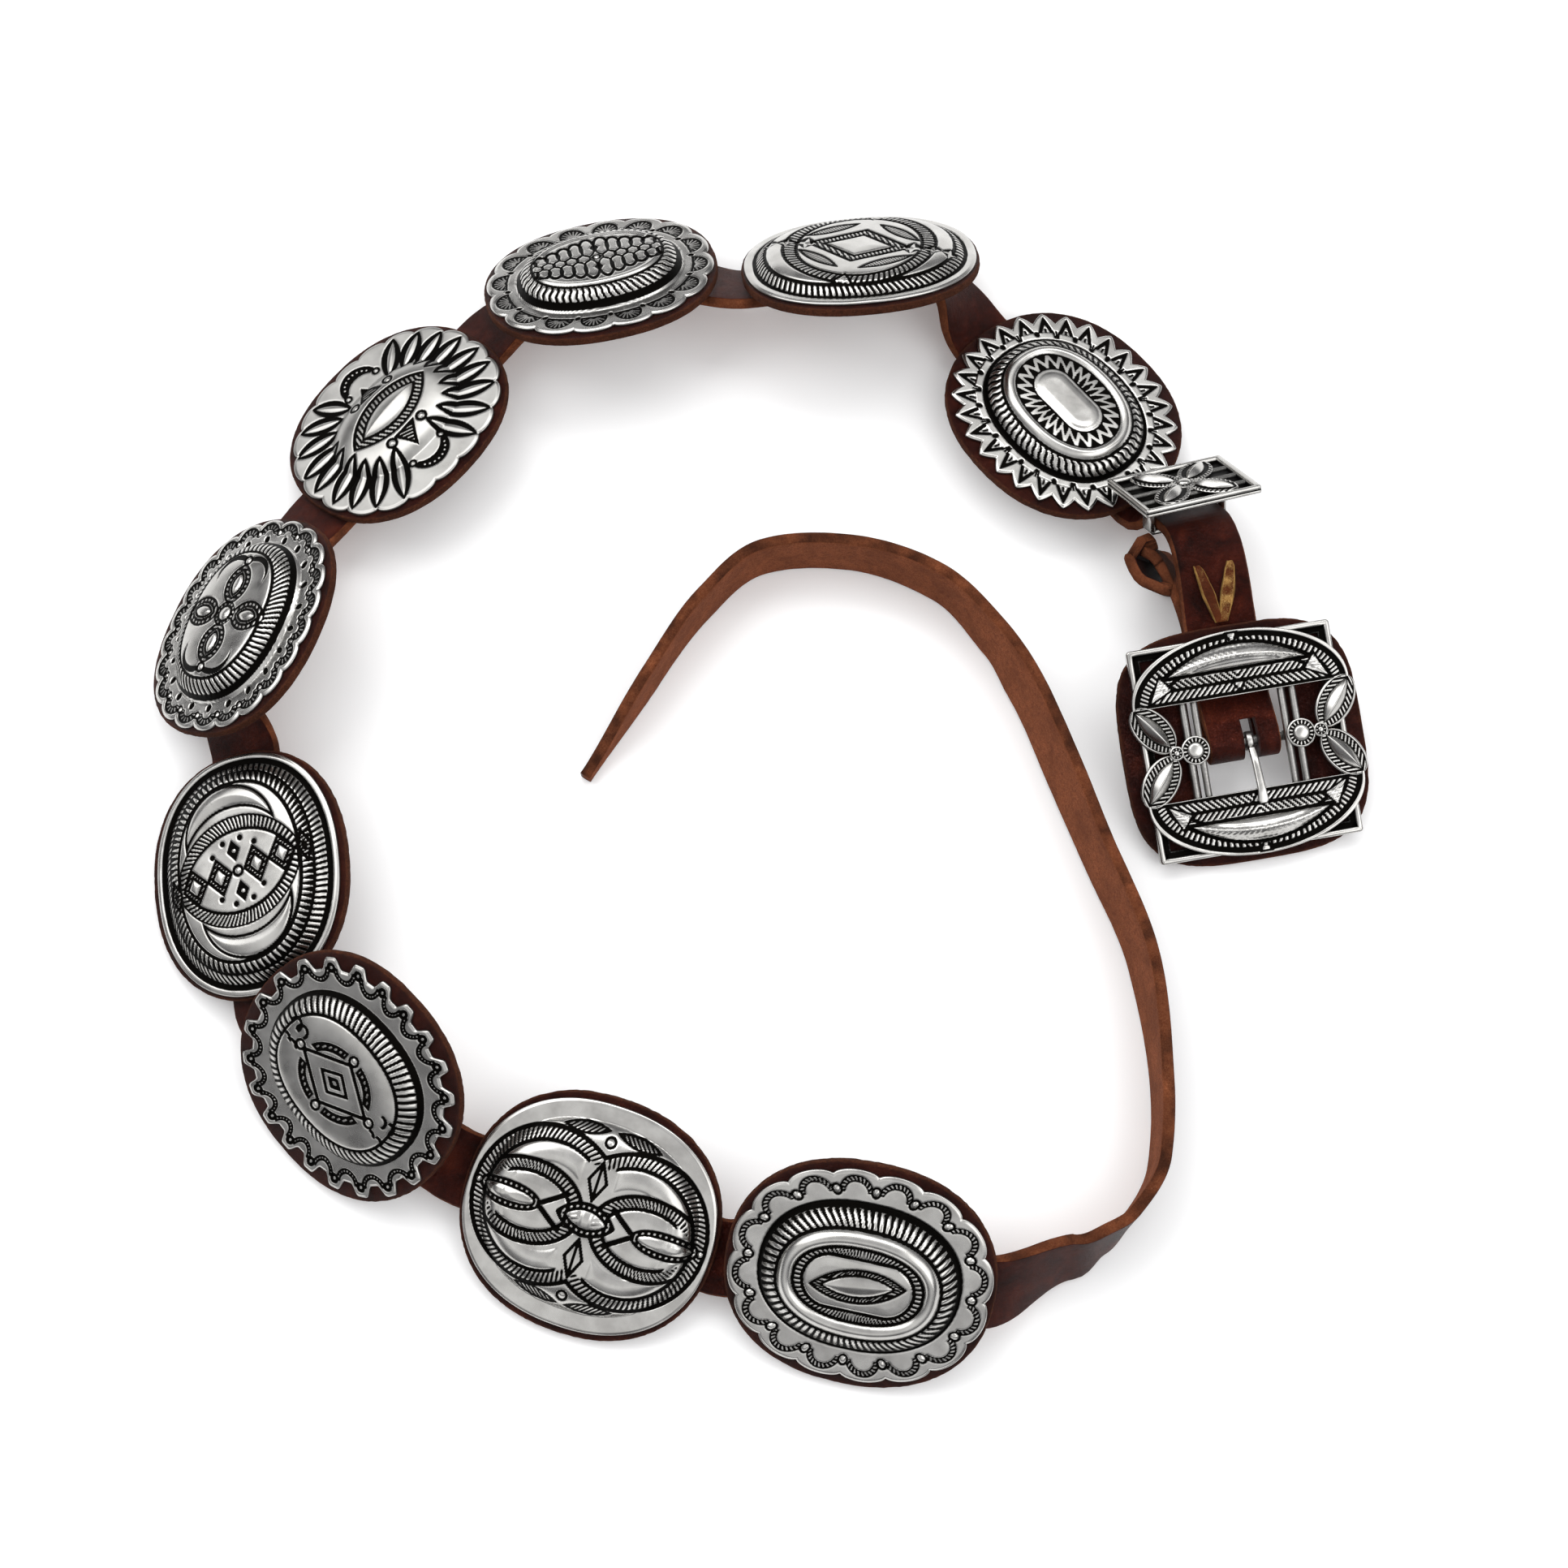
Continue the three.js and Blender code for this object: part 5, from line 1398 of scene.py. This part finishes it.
def half_oval():
    """One stamped half oval: rows from its straight edge to its bow."""
    p, q = np.meshgrid(np.linspace(-1, 1, 190), np.linspace(0, 1, 56))
    angle = np.pi / 2 * p
    across = np.sin(angle) * OVERLAY_HALF
    tall = np.maximum(np.cos(angle), 0.0) ** 0.9 * OVERLAY_TALL
    sheet = Sheet(across, np.maximum(q * tall, 0))
    up = sheet.y
    size = np.hypot(across / OVERLAY_HALF, up / OVERLAY_TALL)
    slope = np.hypot(across / OVERLAY_HALF ** 2, up / OVERLAY_TALL ** 2)
    inward = -size * (size - 1) / np.maximum(slope, 1e-6)
    round_it = np.degrees(np.arctan2(up / OVERLAY_TALL, across / OVERLAY_HALF)) / 180
    sheet.z += OVERLAY_TOP
    sheet.press(within(0.8 - inward, inward - 2.4), 0.4)
    lean = np.where(across > 0, 1, -1)
    bow = within(2.4 - inward, inward - 5.7, 1.0 - up)
    sheet.strokes(bow, round_it * 46 + lean * inward * 0.3, 2.0, 0.44)
    sheet.line(within(np.abs(inward - 5.9) - 0.1, 1 - up), 0.6)
    inner_bow = within(6.2 - inward, inward - 9.3, 5.4 - up)
    sheet.strokes(inner_bow, round_it * 42 - lean * inward * 0.3, 2.0, 0.44)
    sheet.line(within(np.abs(inward - 9.7) - 0.15, 5 - up), 0.8)
    base = within(1.2 - up, up - 4.4, 5.9 - inward)
    sheet.strokes(base, (across + lean * up) / 2.1, 2.1, 0.44)
    for height, end in ((0.7, 1.5), (4.8, 5.9)):
        sheet.line(within(np.abs(up - height) - 0.1, end - inward), 0.6)
    second = within(5.1 - up, up - 8.0, 9.6 - inward)
    sheet.strokes(second, (across - lean * up) / 2.1, 2.1, 0.44)
    for corner in (-1, 1):
        mark = corners(across, up, [(corner * 31, 1.6), (corner * 23.5, 5.2), (corner * 27, 9.6)])
        sheet.press(mark - 0.5, 0.1, 0.9)
        sheet.polish(mark)
    for mark in ([(-2.2, 4.4), (2.2, 4.4), (0, 1.2)], [(-2, 21.2), (2, 21.2), (0, 17.2)]):
        far = corners(across, up, mark)
        sheet.polish(far)
        sheet.line(far, 0.4, 0.2)
    dome = within(lens(across, up, 0.0, 9.2, 50, 17), 8.9 - up)
    sheet.line(dome, 1.0, 0.4)
    sheet.polish(dome + 0.5)
    sheet.z += 3.6 * np.clip(-dome / 4.2, 0, 1) ** 0.75
    return sheet


for side in (1, -1):
    sheet = half_oval()
    height = finish_sheet(sheet, 50.0 * side)
    closed_sheet(frame_shape, side * sheet.x + ASIDE, side * (sheet.y + OVERLAY_LOW), height,
                 OVERLAY_TOP - 1.6, OVERLAY_TOP - 1.5, sheet.dark)


# %% Petals, buttons and rosettes
def petal(shape, cx, cy, degrees, length, width, low, top, rise, grain=44, rope=False):
    """A pointed petal: a thin rim, sides struck with fine lines or a rope, and a bright ridge."""
    p, q = np.meshgrid(np.linspace(-1, 1, grain * 2), np.linspace(-1, 1, grain))
    half, tall = length / 2, width / 2
    along = np.sin(np.pi / 2 * p) * half
    reach = np.cos(np.pi / 2 * p) * tall
    sheet = Sheet(along, q * np.maximum(reach, 0.02))
    edge = (1 - np.abs(q)) * reach
    sheet.z += top
    ridge = lens(along, sheet.y, 0, 0, length * 0.86, width * 0.46)
    if rope:
        outer = within(0.1 - edge, edge - 1.6)
        sheet.strokes(outer, (along + np.abs(sheet.y) * 0.5) / 1.5, 1.5, 0.42)
        sheet.press(within(1.6 - edge, -ridge), 0.4)
    else:
        field = within(0.8 - edge, -ridge)
        sheet.press(field, 0.35, 0.8)
        part = np.abs(((along * 0.8 + np.abs(sheet.y) * 0.6) / 1.3) % 1 - 0.5)
        sheet.dark *= 1 - 0.85 * (field < -0.2) * smooth(part, 0.2, 0.36)
    sheet.polish(ridge + 0.15)
    sheet.z += rise * np.clip(-ridge / (width * 0.22), 0, 1) ** 0.8
    sheet.z -= 0.35 * (1 - smooth(edge, 0, 0.5))
    x, y = turned(sheet.x, sheet.y, 0, 0, -degrees)
    closed_sheet(shape, cx + x, cy + y, sheet.z, low, low + 0.1,
                 np.clip(sheet.dark, 0, 1) * smooth(edge, 0.1, 0.5), 0.0, 0.1)


def button(shape, cx, cy, radius, low, top, rise, centre, ticks=18, grain=46):
    """A round button: a ticked ring and a polished middle."""
    x, y = (part * radius for part in round_grid(grain))
    sheet = Sheet(x, y)
    far = np.hypot(x, y)
    sheet.z += top
    field = within(centre + 0.2 - far, far - radius + 0.6)
    sheet.press(field, 0.25, 0.9)
    turn = np.arctan2(y, x) / (2 * np.pi) * ticks
    sheet.gleam(field + 0.1, turn, 2 * np.pi * (radius + centre) / 2 / ticks, 0.4)
    sheet.z += rise * np.sqrt(np.clip(1 - (far / centre) ** 2, 0, 1))
    sheet.z -= 0.3 * smooth(far, radius - 0.6, radius)
    closed_sheet(shape, cx + x, cy + y, sheet.z, low, low + 0.1,
                 sheet.dark * (1 - smooth(far, radius - 0.5, radius)), 0.0, 0.1)


# %% The flowers at the buckle's sides
ROSETTE_OUT, BUTTON_OUT, PETAL_OUT = 25.2, 18.5, 11.2
FLOWER_LOW, FLOWER_TOP, PETAL_LENGTH, PETAL_WIDTH, PETAL_TURN = 2.3, 3.9, 19.5, 12.0, 53
for side in (-1, 1):
    rosette_x, button_x = side * ROSETTE_OUT + ASIDE, side * BUTTON_OUT + ASIDE
    for up in (-1, 1):
        away = up * (PETAL_TURN if side > 0 else 180 - PETAL_TURN)
        turn = np.radians(away)
        petal(frame_shape, rosette_x + np.cos(turn) * PETAL_OUT, np.sin(turn) * PETAL_OUT, away,
              PETAL_LENGTH, PETAL_WIDTH, FLOWER_LOW, FLOWER_TOP, 2.3)
    button(frame_shape, button_x, 0, 4.9, FLOWER_LOW, FLOWER_TOP, 0.9, 2.7)
    button(frame_shape, rosette_x, 0, 2.4, FLOWER_LOW, FLOWER_TOP + 0.5, 0.2, 0.8, 8, 26)
face_axes = np.array([-buckle_axes[1], buckle_axes[0], buckle_axes[2]])
frame_shape.place(face_axes, buckle_origin)
buckle = frame_shape.make("square_buckle")
dress(buckle, "buckle", silver)

# %% [markdown]
# ### The leather behind the buckle
# The buckle has a pad of its own, squarish and open at the window. It could be a cube with a
# bevel, but then its edge would not match the other leather. So it is the same swept plate as
# the backings, with a squarish outline and one large cut.

# %% The pad and its window
PAD_HALF_X, PAD_HALF_Y, PAD_SQUARENESS = 42.1, 40.8, 3.6
ring = np.linspace(0, 2 * np.pi, 260, endpoint=False)
backing_outline = np.stack([squared(np.cos(ring), 2 / PAD_SQUARENESS) * PAD_HALF_X,
                            squared(np.sin(ring), 2 / PAD_SQUARENESS) * PAD_HALF_Y], axis=1)
shape = swept_plate(backing_outline, -GAP - BACKING, -GAP, 60)
shape.place(face_axes, buckle_origin)
piece = shape.make("leather_behind_buckle")
cut_away(piece, block_cutter(-17.2, 17.2, -17.5, 17.5, -4, 0.2, face_axes, buckle_origin))
dress(piece, "buckle_backing", backing_finish)

# %% [markdown]
# ## The tongue
# A bent silver wire: an eye round the bar and a shaft that widens to a blunt tip resting on the
# lower plate. A bevelled curve would keep one section all along, so the shaft is drawn as rings
# of points that change in width and thickness. It is the one piece that moves, so it rides on a
# body of its own.

# %% Eye and shaft
tongue_shape = Shape()
ring_turn = np.linspace(0, 2 * np.pi, 48, endpoint=False)
wire_turn = np.linspace(0, 2 * np.pi, 20, endpoint=False)
EYE_RADIUS, EYE_HALF, EYE_WALL = 2.8, 1.3, 0.75
ring_points = []
radial = EYE_RADIUS + EYE_WALL * squared(np.cos(wire_turn), 0.7)
side = EYE_HALF * squared(np.sin(wire_turn), 0.7)
for angle in ring_turn:
    ring_points.append(np.stack([side, radial * np.cos(angle), radial * np.sin(angle)], axis=1))
tongue_shape.add(np.concatenate(ring_points), hoop_faces(len(ring_turn), len(wire_turn)),
                 dark=0.15, grey=0.1)
# The shaft's path: how far from the bar, how high above it, width and thickness.
path = [(-2.05, 2.25, 2.6, 1.82), (-6.48, 4.46, 2.6, 2.08), (-16.8, 7.34, 2.86, 1.82),
        (-21.5, 7.2, 3.8, 1.6)]
along = np.linspace(0, 3, 46)
rows = [np.interp(along, range(4), [r[k] for r in path]) for k in range(4)]
rows = [np.convolve(np.pad(r, 3, mode="reflect", reflect_type="odd"), np.ones(7) / 7, "valid")
        for r in rows]
shaft = []
for order, (v, h, wide, thick) in enumerate(zip(*rows)):
    end = 1 - 0.35 * smooth(order, 42, 45)
    x = wide / 2 * end * squared(np.cos(wire_turn), 0.6)
    z = h + thick / 2 + thick / 2 * squared(np.sin(wire_turn), 0.6)
    shaft.append(np.stack([x, np.full_like(x, v), z], axis=1))
tongue_shape.tube(shaft, [shaft[0].mean(axis=0), shaft[-1].mean(axis=0)], flipped=True,
                  dark=0.04, grey=0.05)
hinge = buckle_origin + np.array([0, TONGUE_ASIDE, BAR_DROP]) @ buckle_axes
tongue_shape.place(face_axes, hinge)
tongue = tongue_shape.make("silver_tongue")
dress(tongue, "buckle_tongue", silver, body="tongue")

# %% [markdown]
# ## The keeper
# A framed silver plate with ribs across a black floor and a flower of four petals, on a flat loop
# that holds the strap. It is of a pair with the buckle. So instead of modelling it afresh, the
# buckle's frame, rods, petals and buttons are called again with the keeper's sizes.

# %% Plate, rim, ribs, flower and loop
KEEPER_HALF_W, KEEPER_HALF_D = 22.0, 16.0
keeper_shape = Shape()
rounded_block(keeper_shape, -KEEPER_HALF_W + 0.6, KEEPER_HALF_W - 0.6, -KEEPER_HALF_D + 0.6,
              KEEPER_HALF_D - 0.6, 0, 1, 0.2, dark=0.95, grey=0.0)
rim_profile = [
    (0.0, 0.2, 0.15), (0.0, 0.9, 0.1), (0.25, 1.1, 0.6), (0.12, 1.35, 0.5), (0.1, 2.2, 0.05),
    (0.35, 2.65, 0.0), (1.0, 2.8, 0.0), (1.7, 2.65, 0.0), (2.1, 2.2, 0.1), (2.3, 1.5, 0.6),
    (2.6, 0.9, 0.95), (2.6, 0.3, 0.95), (0.2, 0.0, 0.4)]
swept_frame(keeper_shape, KEEPER_HALF_W, KEEPER_HALF_D, 0.9, rim_profile, 0.05)
for order in (-1, 0, 1):
    y = order * KEEPER_HALF_D * 0.44
    rod(keeper_shape, (-KEEPER_HALF_W + 1.6, y, 1.1), (KEEPER_HALF_W - 1.6, y, 1.1), 0.95, 18,
        0.95, dark=0.34, grey=0.5)
SMALL_PETAL_LENGTH, SMALL_PETAL_WIDTH, SMALL_PETAL_OUT, SMALL_LOW = 17.0, 11.4, 10.6, 1.9
for degrees in (42, 138, -138, -42):
    turn = np.radians(degrees)
    petal(keeper_shape, np.cos(turn) * SMALL_PETAL_OUT, np.sin(turn) * SMALL_PETAL_OUT, degrees,
          SMALL_PETAL_LENGTH, SMALL_PETAL_WIDTH, SMALL_LOW, 2.9, 1.9, 40, rope=True)
button(keeper_shape, 0, 0, 4.4, SMALL_LOW, 3.0, 0.9, 2.3, 16)
for cx, cy in ((5.4, 0), (-5.4, 0), (0, 5.2), (0, -5.2)):
    button(keeper_shape, cx, cy, 1.2, SMALL_LOW, 2.9, 0.2, 0.5, 6, 14)
KEEPER_LEG_IN, KEEPER_SHEET = 13.05, 1.2
flat_loop(keeper_shape, KEEPER_LEG_IN, KEEPER_SHEET, KEEPER_HALF_LOOP, KEEPER_INSIDE, 0.5,
          turned_loop=True, dark=0.08, grey=0.25)
keeper_face = np.array([-keeper_axes[1], keeper_axes[0], keeper_axes[2]])
keeper_shape.place(keeper_face, keeper_origin)
keeper = keeper_shape.make("silver_keeper")
dress(keeper, "keeper", silver)

# %% [markdown]
# ## Table, light and camera
# The photograph shows the belt on plain white from almost straight above, in soft light from the
# upper left. Silver shows the room more than a colour of its own. So a large softbox, a weaker
# one opposite and a long one behind stand in a room that is dark low down and bright overhead.
# The floor glows a little, because the real one is lit until only the shadows are left on it.
# The camera's angle, distance and lens come from how the ring's near and far sides shrink.

# %% The floor
floor_mesh = bpy.data.meshes.new("floor")
floor_mesh.from_pydata([(-3, -3, 0), (3, -3, 0), (3, 3, 0), (-3, 3, 0)], [], [(0, 1, 2, 3)])
floor = bpy.data.objects.new("floor", floor_mesh)
bpy.context.scene.collection.objects.link(floor)
floor_finish, _, floor_shader = new_finish("white_table")
floor_shader.inputs["Base Color"].default_value = (0.93, 0.93, 0.93, 1)
floor_shader.inputs["Roughness"].default_value = 0.9
floor_shader.inputs["Specular IOR Level"].default_value = 0.1
floor_shader.inputs["Emission Color"].default_value = (1, 1, 1, 1)
floor_shader.inputs["Emission Strength"].default_value = 0.14
floor_mesh.materials.append(floor_finish)
floor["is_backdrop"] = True


# %% The lights
def softbox(name, place, size, power):
    """A rectangular light that faces the middle of the belt."""
    lamp = bpy.data.lights.new(name, "AREA")
    lamp.shape, lamp.size, lamp.size_y, lamp.energy = "RECTANGLE", size[0], size[1], power
    holder = bpy.data.objects.new(name, lamp)
    holder.location = place
    holder.rotation_euler = Vector(place).to_track_quat("Z", "Y").to_euler()
    bpy.context.scene.collection.objects.link(holder)


softbox("key_light", (-0.75, 0.65, 1.15), (1.3, 1.3), 10)
softbox("fill_light", (0.9, -0.35, 1.0), (1.2, 1.0), 5)
softbox("top_light", (0.25, 0.9, 1.5), (1.6, 0.5), 7)
print("softboxes:", sorted(lamp.name for lamp in bpy.data.lights))

# %% The room
world = bpy.data.worlds.new("soft_room")
bpy.context.scene.world = world
world.use_nodes = True
tree = world.node_tree
up = node(tree, "ShaderNodeSeparateXYZ", {
    "Vector": node(tree, "ShaderNodeTexCoord").outputs["Generated"]}).outputs["Z"]
glow = ramp(tree, span(tree, up, -0.2, 1.0, 0.0, 1.0), [
    (0.0, (0.5, 0.5, 0.5)), (0.28, (0.07, 0.07, 0.075)), (0.55, (0.32, 0.32, 0.33)),
    (0.8, (0.85, 0.85, 0.85)), (1.0, (0.5, 0.5, 0.51))])
background = tree.nodes["Background"]
tree.links.new(glow, background.inputs["Color"])
background.inputs["Strength"].default_value = 1.25

bpy.context.scene.view_settings.view_transform = "Standard"

# %% The camera
ELEVATION, DISTANCE, LENS = np.radians(73), 0.9, 59.44
target = np.array([9.626, -6.971, 0]) * MM
back = np.array([0, -np.cos(ELEVATION), np.sin(ELEVATION)])
camera_data = bpy.data.cameras.new("camera")
camera_data.lens, camera_data.sensor_width = LENS, 36
camera = bpy.data.objects.new("camera", camera_data)
camera.location = target + back * DISTANCE
camera.rotation_euler = (np.pi / 2 - ELEVATION, 0, 0)
bpy.context.scene.collection.objects.link(camera)
bpy.context.scene.camera = camera
print("camera at", [round(value, 3) for value in camera.location])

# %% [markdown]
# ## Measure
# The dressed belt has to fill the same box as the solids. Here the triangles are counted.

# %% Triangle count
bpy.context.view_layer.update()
triangles = sum(sum(len(f.vertices) - 2 for f in o.data.polygons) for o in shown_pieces())
print("triangles in all:", triangles)
